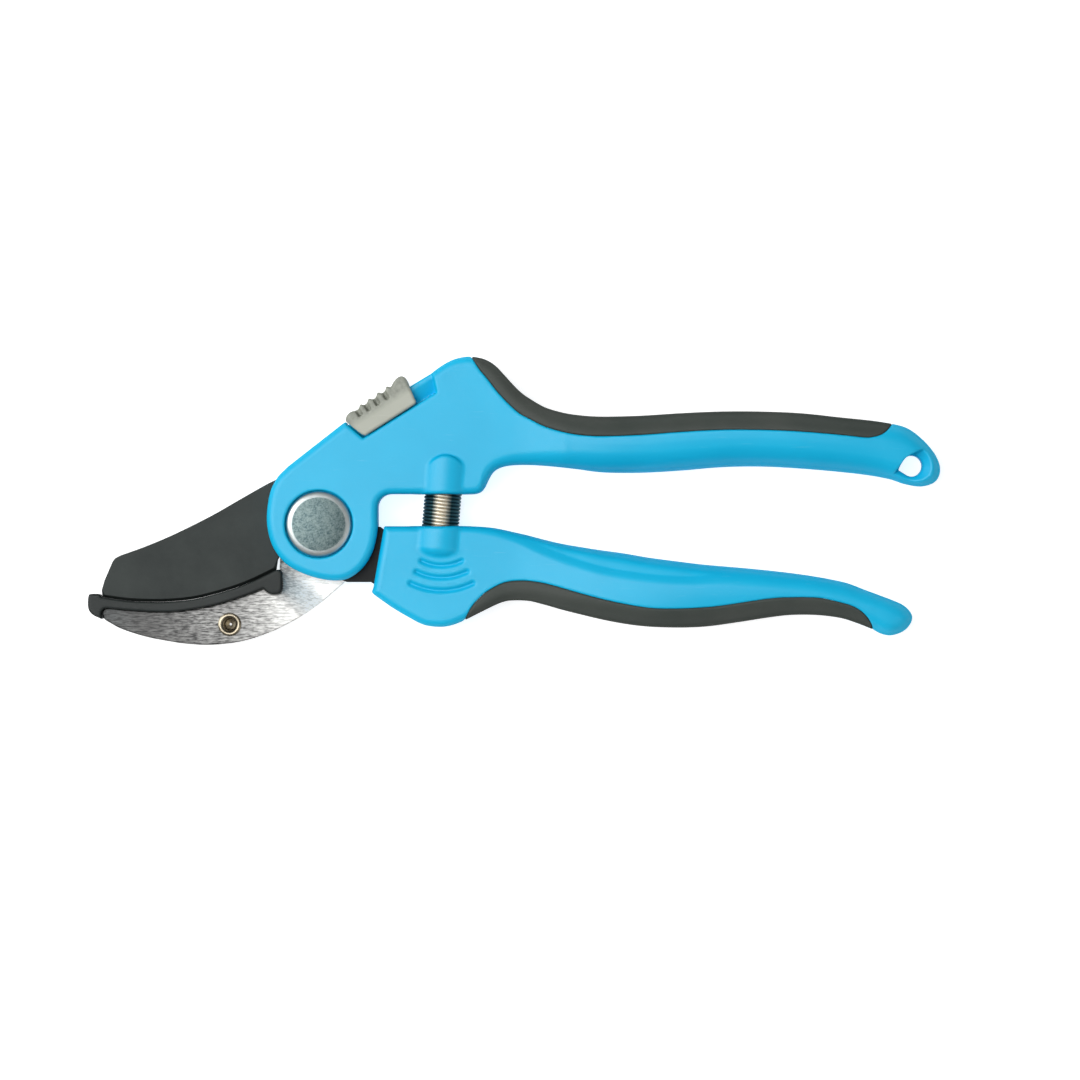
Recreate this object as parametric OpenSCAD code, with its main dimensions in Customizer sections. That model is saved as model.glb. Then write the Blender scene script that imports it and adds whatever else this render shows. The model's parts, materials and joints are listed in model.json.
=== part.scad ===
// Anvil pruning shears, lying on their back face, closed.
// X runs from the jaws to the handle ends, Y across the handles, Z up from the surface they lie on.
// Sizes below are given around the pivot, and placed() then moves the whole tool onto its origin.

/* [Handles] */
// Thickness of both handles where they are fullest
handle_thickness = 17; // [16.6:0.2:17.4]
// Thickness of the moulded heads around the pivot
head_thickness = 12.2; // [11.8:0.2:12.6]
// Radius of the hanging hole at the end of the upper handle
hang_hole_r = 2.5; // [2.3:0.1:2.6]

/* [Jaws] */
// Thickness of the cutting blade
blade_thickness = 3; // [2.8:0.1:3.1]
// Thickness of the steel anvil plate
plate_thickness = 3; // [2.8:0.1:3.1]
// Width of the plastic anvil that the blade lands on
anvil_width = 8; // [7:0.5:9]

/* [Pivot] */
// Diameter of the round bolt head
bolt_head_d = 15.4; // [14.6:0.2:15.6]
// Diameter of the bolt's shank
bolt_shank_d = 8; // [7.6:0.2:8.2]
// Opening angle of the lower handle
opening_angle = 26; // [24:1:26]

/* [Spring] */
// Outer diameter of the coil
spring_d = 9; // [8.6:0.1:9]
// Diameter of the spring wire
wire_d = 0.78; // [0.7:0.02:0.8]

/* [Hidden] */
$fn = 96;

// Colours
blue = "deepskyblue";
dark = [0.24, 0.25, 0.25];
steel = [0.72, 0.72, 0.7];
zinc = [0.7, 0.72, 0.7];
grey = [0.66, 0.65, 0.6];

// Levels, from the surface up
mid_z = handle_thickness / 2;
head_z0 = mid_z - head_thickness / 2;
head_z1 = mid_z + head_thickness / 2;
blade_z0 = mid_z - blade_thickness / 2;
blade_z1 = mid_z + blade_thickness / 2;
washer_gap = 0.4;
slot_z0 = blade_z0 - washer_gap;
slot_z1 = blade_z1 + washer_gap;
plate_z0 = slot_z0 - plate_thickness;
far = 100;

// Running clearances
slip = 0.05;
play = 0.1;
cut_gap = 0.15;

// ---- Curves ----
function lerp(a, b, t) = a + (b - a) * t;
function catmull(p0, p1, p2, p3, t) =
    0.5 * (2 * p1 + (p2 - p0) * t + (2 * p0 - 5 * p1 + 4 * p2 - p3) * t * t
        + (3 * p1 - p0 - 3 * p2 + p3) * t * t * t);
// A smooth open curve through the points p, with n steps from each point to the next.
function curve(p, n = 4) = [
    for (i = [0 : len(p) - 2], k = [0 : n - 1])
        catmull(p[max(i - 1, 0)], p[i], p[i + 1], p[min(i + 2, len(p) - 1)], k / n),
    p[len(p) - 1]
];
function arc(c, r, a0, a1, n = 12) =
    [for (k = [0 : n]) c + r * [cos(lerp(a0, a1, k / n)), sin(lerp(a0, a1, k / n))]];
// Drops every point that lies on the one before it.
function tidy(p) = [for (i = [0 : len(p) - 1]) if (norm(p[i] - p[(i + 1) % len(p)]) > 0.02) p[i]];
function shifted(p, d) = [for (q = p) q + d];
function reversed(p) = [for (i = [len(p) - 1 : -1 : 0]) p[i]];

module slab(points, z0, z1) {
    translate([0, 0, z0])
        linear_extrude(height = z1 - z0)
            polygon(tidy(points));
}

module rod(r, z0, z1) {
    translate([0, 0, z0])
        cylinder(r = r, h = z1 - z0);
}

// ---- Handle lofts ----
// A station is [x, lowest y, parting y, highest y, half thickness, squareness of the section].
// The parting line is where the soft grip meets the hard handle.
upper_stations = [
    [50, 14.1, 25.5, 30.2, 6, 6],
    [54, 14.0, 23.4, 27.9, 6.5, 5],
    [60, 13.4, 21.7, 26.3, 7.2, 3.6],
    [68, 12.5, 21.0, 25.7, 7.9, 2.8],
    [77, 12.3, 21.3, 26.0, 8.3, 2.5],
    [87, 12.9, 22.0, 26.6, 8.5, 2.4],
    [96, 13.6, 22.5, 27.0, 8.5, 2.4],
    [106, 13.8, 22.5, 27.1, 8.4, 2.4],
    [116, 13.2, 22.2, 26.6, 8.2, 2.4],
    [126, 12.4, 21.2, 25.5, 7.8, 2.5],
    [132, 11.8, 20.7, 24.9, 7.3, 2.6],
    [135, 11.2, 21.6, 24.6, 6.9, 2.7],
    [137.6, 10.6, 23.7, 24.1, 6.5, 2.8],
    [141, 9.5, 22.9, 22.9, 5.9, 3],
    [144.5, 8.9, 20.5, 20.5, 5.3, 3],
    [147, 9.6, 17.4, 17.4, 4.6, 3],
    [148.5, 11.1, 15.2, 15.2, 3.6, 3],
    [149, 12.2, 13.8, 13.8, 2.6, 3]
];
lower_stations = [
    [50, -18.3, -13.6, -2.7, 6, 6],
    [54, -19.3, -14.1, -3.7, 6.5, 5],
    [60, -20.9, -15.7, -5.0, 7.1, 3.6],
    [68, -23.0, -18.0, -6.3, 7.8, 2.9],
    [77, -24.4, -19.8, -7.7, 8.3, 2.5],
    [86, -24.8, -20.2, -8.9, 8.5, 2.4],
    [96, -24.2, -19.5, -10.0, 8.5, 2.4],
    [106, -22.7, -18.1, -10.9, 8.3, 2.4],
    [113, -21.8, -17.6, -11.7, 8.0, 2.4],
    [120, -21.9, -17.7, -12.8, 7.5, 2.5],
    [125, -22.5, -18.7, -13.8, 7.0, 2.6],
    [129, -23.7, -20.3, -15.1, 6.6, 2.7],
    [132.2, -25.0, -24.4, -16.3, 6.2, 2.8],
    [135.5, -26.4, -26.4, -17.6, 5.8, 2.8],
    [138.5, -26.3, -26.3, -18.8, 5.2, 2.8],
    [140.8, -25.1, -25.1, -20.2, 4.4, 2.8],
    [142, -23.3, -23.3, -21.7, 3.0, 2.8]
];
full_half = 8.5;
head_end_x = upper_stations[0][0];
grip_end = 12;
ring_points = 24;

function power(v, p) = sign(v) * pow(abs(v), p);
// The angle, from the section's top, at which its edge crosses the parting line.
function parting_angle(s) =
    let (c = (s[2] - (s[1] + s[3]) / 2) / ((s[3] - s[1]) / 2))
    acos(max(-0.999, min(0.999, power(c, s[5] / 2))));
// One ring of the loft, from angle a0 to a1, where 0 is the section's top and 180 its bottom.
function ring(s, a0, a1) = [
    for (k = [0 : ring_points - 1])
        let (a = lerp(a0, a1, k / (ring_points - 1)))
        [
            s[0],
            (s[1] + s[3]) / 2 + (s[3] - s[1]) / 2 * power(cos(a), 2 / s[5]),
            mid_z + min(s[4] / full_half, 1) * handle_thickness / 2 * power(sin(a), 2 / s[5])
        ]
];

module loft(rings) {
    n = ring_points;
    polyhedron(
        points = [for (r = rings, p = r) p],
        faces = concat(
            [[for (k = [0 : n - 1]) k]],
            [[for (k = [n - 1 : -1 : 0]) (len(rings) - 1) * n + k]],
            [for (i = [0 : len(rings) - 2], k = [0 : n - 1])
                [i * n + k, (i + 1) * n + k, (i + 1) * n + (k + 1) % n]],
            [for (i = [0 : len(rings) - 2], k = [0 : n - 1])
                [i * n + k, (i + 1) * n + (k + 1) % n, i * n + (k + 1) % n]]
        ),
        convexity = 4
    );
}

module above_parting(stations) {
    loft([for (s = curve(stations, 3)) let (a = parting_angle(s)) ring(s, -a, a)]);
}

module below_parting(stations) {
    loft([for (s = curve(stations, 3)) let (a = parting_angle(s)) ring(s, a, 360 - a)]);
}

function grip_stations(stations) = [for (i = [0 : grip_end]) stations[i]];

// ---- Plan outlines ----
upper_head_outline = concat(
    curve([
        [-12.5, 3], [-11.7, -3], [-8.2, -9.4], [-2, -12.7], [5, -13.4], [10.1, -10.7], [13.3, -5.5],
        [14.1, 0]
    ]),
    arc([17.3, 4], 3.2, 180, 90, 6),
    curve([[37.6, 7.2], [39.2, 8], [40.2, 10.4], [41.8, 13], [44.5, 14], [head_end_x, 14]]),
    curve([
        [head_end_x, 30.3], [46.2, 33.7], [42.4, 37.8], [40.2, 39.4], [37.6, 40.1], [34.4, 39.9],
        [27.2, 36.6]
    ]),
    curve([[5.9, 24.2], [-7.3, 13.9]], 1),
    curve([[-7.3, 13.9], [-10.3, 10.6], [-12, 6.6], [-12.5, 3]])
);
upper_parting = curve([[36.4, 40.3], [38.5, 36.9], [42.4, 31.9], [46.2, 28], [head_end_x, 25.5]]);
lower_head_outline = concat(
    curve([[12.6, -16.3], [13.6, -17.3], [20.5, -21.9], [24.5, -23.9], [28, -24.6], [31.5, -24.4],
        [34.7, -23.3], [38.5, -21.3], [42.4, -19.4], [45.5, -18.4], [head_end_x, -18.4]]),
    curve([[head_end_x, -2.6], [46.2, -1.8], [42.4, -0.9], [38, -0.5]]),
    arc([16.8, -1.8], 1.3, 90, 170, 4)
);
lower_parting = curve([[34.6, -23.6], [36.6, -19.6], [40.5, -15.9], [45.6, -13.7], [head_end_x, -13.6]]);

// Cutting edge, from the tip to the heel. The anvil's top face follows it.
cutting_edge = curve([
    [-52.1, -17.6], [-44, -18.5], [-37.3, -18.6], [-30.5, -18], [-23.8, -16.4], [-17, -14.1], [-10.3, -10.9]
]);
// Seat of the plastic anvil along the steel plate, from the tip to the hook at the heel.
anvil_seat = curve([
    [-51, -20.1], [-44, -20.7], [-38, -21], [-32.5, -20.7], [-24.8, -19.3], [-17.1, -16.9], [-13.3, -15.4]
]);
heel_hook = curve([[-13.3, -15.4], [-12.2, -16.4], [-10.8, -16.8], [-9.4, -16.4], [-8.8, -15.3]]);
tip_corner = curve([[-51, -20.1], [-51.8, -20.4], [-52.1, -21.4], [-51.9, -22.6]]);

// ---- Placing ----
tip_x = -55.4;
end_x = upper_stations[len(upper_stations) - 1][0];
top_y = max([for (q = upper_head_outline) q[1]]);
bottom_y = -29;
module placed() {
    translate([-(tip_x + end_x) / 2, -(top_y + bottom_y) / 2, 0])
        children();
}

// ---- Pivot ----
hub_r = 11;
relief_r = 9.4;
shank_r = bolt_shank_d / 2;
flat_half = shank_r - 0.6;
bush_r = shank_r + 1.5;
washer_r = 8.4;
thread_r = 3;
nut_af = 10;
nut_washer_t = 0.4;
wave_t = 0.6;
nut_h = plate_z0 - wave_t - nut_washer_t;
head_top = head_z1 + 0.3;
head_seat = head_z1 - 2.4;
head_recess_r = bolt_head_d / 2 + 0.5;
nut_recess_r = 6.6;

module pivot_bolt() {
    color(zinc) {
        rotate_extrude()
            polygon([
                [0, head_seat], [bolt_head_d / 2 - 0.2, head_seat], [bolt_head_d / 2, head_seat + 0.2],
                [bolt_head_d / 2, head_top - 0.9], [bolt_head_d / 2 - 0.3, head_top - 0.3],
                [bolt_head_d / 2 - 1, head_top], [0, head_top]
            ]);
        rod(shank_r, slot_z0, head_seat);
        intersection() {
            rod(shank_r, plate_z0, slot_z0);
            translate([-shank_r, -flat_half, 0])
                cube([bolt_shank_d, 2 * flat_half, far]);
        }
        rod(thread_r - slip, 0.3, plate_z0);
    }
}

module pivot_nut() {
    color(zinc)
        difference() {
            cylinder(d = nut_af / cos(30), h = nut_h, $fn = 6);
            rod(thread_r, -1, nut_h + 1);
        }
}

module nut_washer() {
    color(zinc)
        difference() {
            rod(5.8, nut_h, nut_h + nut_washer_t);
            rod(thread_r + play, 0, far);
        }
}

// A spring washer: one turn of square wire with a cut in it.
module wave_washer() {
    z0 = nut_h + nut_washer_t;
    color(steel)
        difference() {
            rod(5.4, z0, plate_z0);
            rod(3.6, 0, far);
            rotate(40)
                translate([2, -0.3, 0])
                    cube([5, 0.6, far]);
        }
}

module thrust_washer(z0) {
    color(steel)
        difference() {
            rod(washer_r, z0 + 0.03, z0 + washer_gap - 0.03);
            rod(shank_r + play, 0, far);
        }
}

module pivot_bush() {
    color("darkgoldenrod")
        difference() {
            rod(bush_r, blade_z0, blade_z1);
            rod(shank_r + slip, 0, far);
        }
}

// ---- Blade ----
// The tooth on the hub is caught by the lock plate, and meets the stop pin when the shears are wide open.
tooth_a0 = 40.5;
tooth_a1 = 48;
relief_a0 = -1.5;
relief_a1 = 76;
tang_edge = -13.9;
bevel_w = 1.6;
edge_t = 1;
blade_back = curve([[-0.8, 10.97], [-11.4, 10.2], [-19.1, 5.9], [-30.6, -0.4], [-42.1, -5.5], [-48, -7.7]]);
blade_nose = [[-49.2, -8.6], [-51.7, -13.6], [-52.2, -15.8]];
hub_rim = concat(
    arc([0, 0], relief_r, relief_a0, tooth_a0, 10),
    arc([0, 0], hub_r, tooth_a0, tooth_a1, 3),
    arc([0, 0], relief_r, tooth_a1, relief_a1, 6),
    arc([0, 0], hub_r, relief_a1, 94, 4)
);
// The tang leaves the hub, dips below the spring pocket and runs inside the lower handle.
tang_lower = concat(
    [[6.6, tang_edge], [12.4, tang_edge]],
    curve([
        [13.5, -14.6], [19, -17], [26, -18.4], [34, -16.8], [42, -13.4], [50, -11.9], [60, -13.2],
        [70, -15.5], [82, -16.4]
    ])
);
tang_upper = concat(
    curve([
        [84, -14.8], [82, -13], [70, -10.8], [60, -8.8], [50, -7.2], [40, -9.3], [34, -11], [24, -10.7],
        [21.6, -9.4]
    ]),
    [[19.5, -4.5], [14.6, -0.6], [relief_r, -0.6]]
);

module blade_profile(lift, z0, z1) {
    slab(concat(
        blade_back, blade_nose, shifted(cutting_edge, [0, lift]), [[-10, -8.6]],
        arc([0, 0], hub_r, 216, 268, 8),
        tang_lower, tang_upper, hub_rim
    ), z0, z1);
}

module blade() {
    color(dark)
        difference() {
            union() {
                blade_profile(bevel_w, blade_z0, blade_z1);
                blade_profile(0, mid_z - edge_t / 2, mid_z + edge_t / 2);
            }
            rod(bush_r, 0, far);
        }
}

// ---- Anvil side ----
joggle_angle = 225;
joggle_start = 12.2;
joggle_end = 17;
joggle_rise = blade_z0 - plate_z0;
pin_r = 1.25;
pin_angle = tooth_a0 - opening_angle - 7.5;
pin_at = 10.8 * [cos(pin_angle), sin(pin_angle)];
rivet_at = [-21.4, -24.1];
rivet_r = 2.1;
rivet_bore_r = 1.5;
rivet_flange_r = 2.8;
rivet_flange_t = 0.5;
tab_z0 = mid_z - anvil_width / 2;
plate_outline = concat(
    heel_hook,
    [[-8.6, -12.6]],
    arc([0, 0], 12, 218, 100, 16),
    curve([[-2, 12], [10, 19.3], [20, 24.3], [30, 26.6], [40, 24.6], [50, 22.3], [70, 20.2], [95, 20.8]]),
    curve([[97.5, 18.8], [95, 16.8], [70, 15.6], [50, 17], [40, 18], [30, 18.6], [23, 18.4], [14.5, 10.5]]),
    arc([0, 0], 12.4, 36, -42, 10),
    curve([
        [7.4, -12.6], [4, -15.8], [0.1, -19.2], [-5.6, -22.9], [-13.3, -26.5], [-21, -28.5],
        [-26.8, bottom_y], [-32.5, -28.6], [-40.2, -27.3], [-47.9, -24.9], [-51.9, -22.6]
    ]),
    reversed(tip_corner),
    anvil_seat
);

// The plate is pressed into a step, so that its jaw end lies in the plane of the blade.
module stepped_sheet() {
    t = plate_thickness;
    rotate([90, 0, joggle_angle])
        translate([0, 0, -far])
            linear_extrude(height = 2 * far)
                polygon([
                    [-120, plate_z0], [joggle_start, plate_z0], [joggle_end, plate_z0 + joggle_rise],
                    [90, plate_z0 + joggle_rise], [90, plate_z0 + joggle_rise + t],
                    [joggle_end, plate_z0 + joggle_rise + t], [joggle_start, plate_z0 + t],
                    [-120, plate_z0 + t]
                ]);
}

module anvil_plate() {
    color(steel)
        difference() {
            intersection() {
                slab(plate_outline, 0, handle_thickness);
                stepped_sheet();
            }
            intersection() {
                rod(shank_r + slip, 0, far);
                translate([-far / 2, -flat_half - slip, 0])
                    cube([far, 2 * (flat_half + slip), far]);
            }
            translate(pin_at)
                rod(pin_r, 0, far);
            translate(rivet_at)
                rod(rivet_r, 0, far);
        }
}

module anvil_insert() {
    bar = concat(
        shifted(cutting_edge, [0, -cut_gap]),
        [[-9.4, -10.8], [-8.8, -11.6]],
        reversed(heel_hook), reversed(anvil_seat), tip_corner,
        curve([[-53.9, -21.9], [-55.1, -20.6], [tip_x, -18.6], [-55, -17], [-53.6, -16.8], [-52.8, -17.2]])
    );
    tab = concat(
        [[-27, -19], [-15, -15.8]],
        arc(rivet_at, 3.8, 0, -180, 12)
    );
    color(dark)
        difference() {
            union() {
                slab(bar, tab_z0, mid_z + anvil_width / 2);
                slab(tab, tab_z0, blade_z0);
            }
            translate(rivet_at)
                rod(rivet_r, 0, far);
        }
}

module anvil_rivet() {
    z1 = blade_z0 + plate_thickness;
    color("tan")
        translate(rivet_at)
            rotate_extrude()
                polygon([
                    [rivet_bore_r, tab_z0 - rivet_flange_t], [rivet_flange_r, tab_z0 - rivet_flange_t],
                    [rivet_flange_r, tab_z0], [rivet_r, tab_z0], [rivet_r, z1], [rivet_flange_r, z1],
                    [rivet_flange_r - 0.3, z1 + rivet_flange_t], [rivet_bore_r + 0.6, z1 + rivet_flange_t],
                    [rivet_bore_r, z1 - 0.4]
                ]);
}

module stop_pin() {
    color(steel)
        translate(pin_at)
            rod(pin_r, head_z0 + 0.2, slot_z1 - 0.1);
}

// ---- Spring ----
spring_tilt = -5;
spring_at = [29.35, 3.6, mid_z];
spring_half = 11.8;
pocket_r = spring_d / 2 + 0.4;
boss_r = 7.6;
upper_boss_reach = 8.3;
lower_boss_reach = 6.8;
peg_r = spring_d / 2 - wire_d - 0.5;
peg_l = 4;
turns = 27;
turn_steps = 14;

// Moves a shape built up from z = 0 to the spring's middle, along the spring's axis.
module along_spring() {
    translate(spring_at)
        rotate([0, 0, spring_tilt])
            rotate([-90, 0, 0])
                children();
}

module spring() {
    coil_r = (spring_d - wire_d) / 2;
    sides = 8;
    n = turns * turn_steps;
    travel = 2 * spring_half - wire_d - 0.1;
    points = [
        for (i = [0 : n], k = [0 : sides - 1])
            let (a = i * 360 / turn_steps, b = k * 360 / sides, r = coil_r + wire_d / 2 * cos(b))
            [r * cos(a), r * sin(a), travel * (i / n - 0.5) + wire_d / 2 * sin(b)]
    ];
    color(zinc)
        along_spring()
            polyhedron(
                points = points,
                faces = concat(
                    [[for (k = [0 : sides - 1]) k]],
                    [[for (k = [sides - 1 : -1 : 0]) n * sides + k]],
                    [for (i = [0 : n - 1], k = [0 : sides - 1])
                        [
                            i * sides + k, (i + 1) * sides + k,
                            (i + 1) * sides + (k + 1) % sides, i * sides + (k + 1) % sides
                        ]]
                ),
                convexity = 10
            );
}

// The blind pocket at one end of the spring, with the peg that centres the coil left standing.
module spring_pocket(end) {
    along_spring()
        difference() {
            translate([0, 0, end > 0 ? 0 : -spring_half])
                cylinder(r = pocket_r, h = spring_half);
            translate([0, 0, end > 0 ? spring_half - peg_l : -spring_half - 1])
                cylinder(r = peg_r, h = peg_l + 1);
        }
}

// The swelling in the handle's faces around a pocket, rounded off at its far end.
module spring_boss(end, reach) {
    along_spring()
        rotate([end > 0 ? 0 : 180, 0, 0])
            rotate_extrude()
                polygon(concat([[0, 0]], arc([0, reach], boss_r, 0, 90, 8)));
}

// ---- Lock ----
// Along the lock's own axes: +X is the way it slides to unlock, and the pivot is at their origin.
lock_angle = 32;
lock_forward = 1;
lock_back = 5;
button_corner = [20.2, 12];
rib_half = 4.3;
nose_at = hub_r + 0.12;
lock_half_t = blade_thickness / 2 - play;
flange_z = head_thickness / 2 + play;
flange_t = 0.6;
leg_x0 = 24.1;
leg_x1 = 28.3;

module along_lock() {
    rotate([0, 0, lock_angle])
        children();
}

module lock_slab(points, half) {
    slab(points, mid_z - half, mid_z + half);
}

// Sideways reach of the button over the rib that it rides on.
module button_recess() {
    c = button_corner;
    for (side = [-1, 1])
        slab([
            c + [0.4, 0.5], c + [20.4, 0.5], c + [21.8, 5.6], c + [-1.5, 6.5], c + [-1.3, 5.6]
        ], side > 0 ? mid_z + rib_half : -1, side > 0 ? far : mid_z - rib_half);
    lock_slab([
        c + [-1.3, 4.4], c + [21.5, 4.4], c + [21.8, 9], c + [-1.5, 9]
    ], far);
}

module lock_channel() {
    c = blade_thickness / 2;
    lock_slab([
        [9, -1.5], [27.3, -1.5], [27.3, 9.8], [35.2, 9.8], [35.2, 15.2], [17.3, 15.2], [17.3, 1.5], [9, 1.5]
    ], c);
    lock_slab([
        [leg_x0 - lock_forward - play, 12], [leg_x1 + lock_back + play, 12],
        [leg_x1 + lock_back + play, 30], [leg_x0 - lock_forward - play, 30]
    ], c);
}

module lock_button() {
    c = button_corner;
    ridges = 4;
    outer = concat(
        curve([
            c + [0.6, 0], c + [14.4, 0.2], c + [15.1, 0.9], c + [15.6, 4.8],
            c + [15.4, 7], c + [14.4, 7.6], c + [12.6, 7.4]
        ], 3),
        [for (i = [0 : ridges - 1], q = [[11.6, 6.5], [10.9, 7], [10.2, 6.9]]) c + q - [2.6 * i, 0.05 * i]],
        curve([
            c + [1.6, 6.4], c + [-0.2, 6.7], c + [-1.7, 5.9], c + [-1.7, 5.2], c + [-0.1, 0.4], c + [0.6, 0]
        ], 3)
    );
    core = [c + [1.6, 0.6], c + [14.8, 0.6], c + [15.4, 7], c + [-0.2, 6.4]];
    color(grey)
        along_lock() {
            for (side = [-1, 1])
                slab(outer,
                    side > 0 ? mid_z + flange_z : mid_z - flange_z - flange_t,
                    side > 0 ? mid_z + flange_z + flange_t : mid_z - flange_z);
            difference() {
                union() {
                    lock_slab(core, flange_z);
                    intersection() {
                        lock_slab(outer, flange_z);
                        lock_slab([c + [-3, 5.8], c + [18, 5.8], c + [18, 9], c + [-3, 9]], flange_z);
                    }
                }
                lock_slab([c + [-3, -1], c + [18, -1], c + [18, 4.55], c + [-3, 4.55]], rib_half + play);
            }
            lock_slab([[leg_x0, 13.3], [leg_x1, 13.3], [leg_x1, 17.5], [leg_x0, 17.5]], lock_half_t);
        }
}

module lock_plate() {
    color(steel)
        along_lock()
            lock_slab([
                [nose_at, -1.4], [22, -1.4], [22, 11.4], [30, 11.4], [30, 15],
                [leg_x1, 15], [leg_x1, 13.3], [leg_x0, 13.3], [leg_x0, 15], [18.5, 15],
                [18.5, 1.4], [nose_at, 1.4]
            ], lock_half_t);
}

// A bowed leaf under the lock plate, which rubs along the channel and holds the button where it is left.
module detent_spring() {
    bow_r = 4;
    leaf_t = 0.35;
    centre = [26.6, 13.83];
    color(steel)
        along_lock()
            lock_slab(concat(
                arc(centre, bow_r, -138, -42, 10),
                arc(centre, bow_r - leaf_t, -42, -138, 10)
            ), lock_half_t - 0.3);
}

// ---- Moulded handles ----
hang_at = [142, 13.9];
hang_point = 1.35;
hang_turn = 196;
loop_half = 4.2;

// A round hole drawn out to a point, which lets a hook settle in one place.
module hang_hole() {
    a = acos(1 / hang_point);
    slab([
        hang_at + hang_point * hang_hole_r * [cos(hang_turn), sin(hang_turn)],
        hang_at + hang_hole_r * [cos(hang_turn + a), sin(hang_turn + a)],
        hang_at + hang_hole_r * [cos(hang_turn - a), sin(hang_turn - a)]
    ], -1, far);
    translate(hang_at)
        rod(hang_hole_r, -1, far);
}

// The loop around the hole is thinner than the handle.
module loop_relief() {
    step = [[136.4, 5], [136.8, 10.9], [137.8, 13.4], [140, 17.4], [143.8, 24], [152, 24], [152, 5]];
    slab(step, -1, mid_z - loop_half);
    slab(step, mid_z + loop_half, far);
}

// Three shallow arcs pressed into each face of the lower handle.
mark_at = [29.4, 0.8];
mark_half_w = 0.55;
mark_half_a = 28;
mark_depth = 0.35;
module thumb_marks() {
    for (r = [10.9, 13.8, 16.9], z = [head_z0 - 1, head_z1 - mark_depth])
        translate([mark_at[0], mark_at[1], z])
            intersection() {
                difference() {
                    rod(r + mark_half_w, 0, 1 + mark_depth);
                    rod(r - mark_half_w, -1, 4);
                }
                slab([
                    [0, 0], 40 * [-sin(mark_half_a), -cos(mark_half_a)],
                    40 * [sin(mark_half_a), -cos(mark_half_a)]
                ], 0, 4);
            }
}

module blade_slot() {
    rod(hub_r + 0.4, slot_z0, slot_z1);
    slab([
        [0, 0], [4.5, 10.7], [-3, 13.9], [-4, 24], [-30, 24], [-30, -30], [30, -30], [30, -0.15], [9, -0.15]
    ], slot_z0, slot_z1);
}

module upper_head() {
    slab(upper_head_outline, head_z0, head_z1);
}

// Everything on the grip's side of a parting line, as a tall block.
module grip_side(parting, y) {
    x = head_end_x + 1;
    last = parting[len(parting) - 1];
    slab(concat(parting, [[x, last[1]], [x, y], [parting[0][0], y]]), -1, far);
}

module upper_handle() {
    color(blue)
        difference() {
            union() {
                difference() {
                    upper_head();
                    grip_side(upper_parting, 60);
                }
                below_parting(upper_stations);
                intersection() {
                    spring_boss(1, upper_boss_reach);
                    slab([[20, 7.2], [38, 7.2], [38, 20], [20, 20]], 0, far);
                }
            }
            blade_slot();
            anvil_plate();
            spring_pocket(1);
            rod(shank_r + play, 0, far);
            rod(head_recess_r, head_seat, far);
            rod(nut_recess_r, -1, plate_z0);
            translate(pin_at)
                rod(pin_r, 0, slot_z1 - 0.1);
            along_lock() {
                button_recess();
                lock_channel();
            }
            hang_hole();
            loop_relief();
        }
}

module upper_grip() {
    color(dark) {
        intersection() {
            upper_head();
            grip_side(upper_parting, 60);
        }
        above_parting(grip_stations(upper_stations));
    }
}

module lower_handle() {
    color(blue)
        difference() {
            union() {
                difference() {
                    slab(lower_head_outline, head_z0, head_z1);
                    grip_side(lower_parting, -60);
                }
                above_parting(lower_stations);
                intersection() {
                    spring_boss(-1, lower_boss_reach);
                    slab([[20, -14], [38, -14], [38, -0.5], [20, -0.5]], 0, far);
                }
                slab([[10.9, -14], [15, -14], [15, -16], [12.9, -16]], mid_z - 3, mid_z + 3);
            }
            blade();
            spring_pocket(-1);
            thumb_marks();
        }
}

module lower_grip() {
    color(dark) {
        intersection() {
            slab(lower_head_outline, head_z0, head_z1);
            grip_side(lower_parting, -60);
        }
        below_parting(grip_stations(lower_stations));
    }
}

placed() upper_handle();
placed() upper_grip();
placed() anvil_plate();
placed() anvil_insert();
placed() anvil_rivet();
placed() stop_pin();
placed() pivot_bolt();
placed() pivot_nut();
placed() nut_washer();
placed() wave_washer();
placed() thrust_washer(blade_z1);  // front_washer
placed() thrust_washer(slot_z0);  // back_washer
placed() spring();
placed() blade();
placed() pivot_bush();
placed() lower_handle();
placed() lower_grip();
placed() lock_button();
placed() lock_plate();
placed() detent_spring();
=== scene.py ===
import json
import math

import bmesh
import bpy
import numpy as np
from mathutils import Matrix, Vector
from mathutils.geometry import delaunay_2d_cdt


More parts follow.
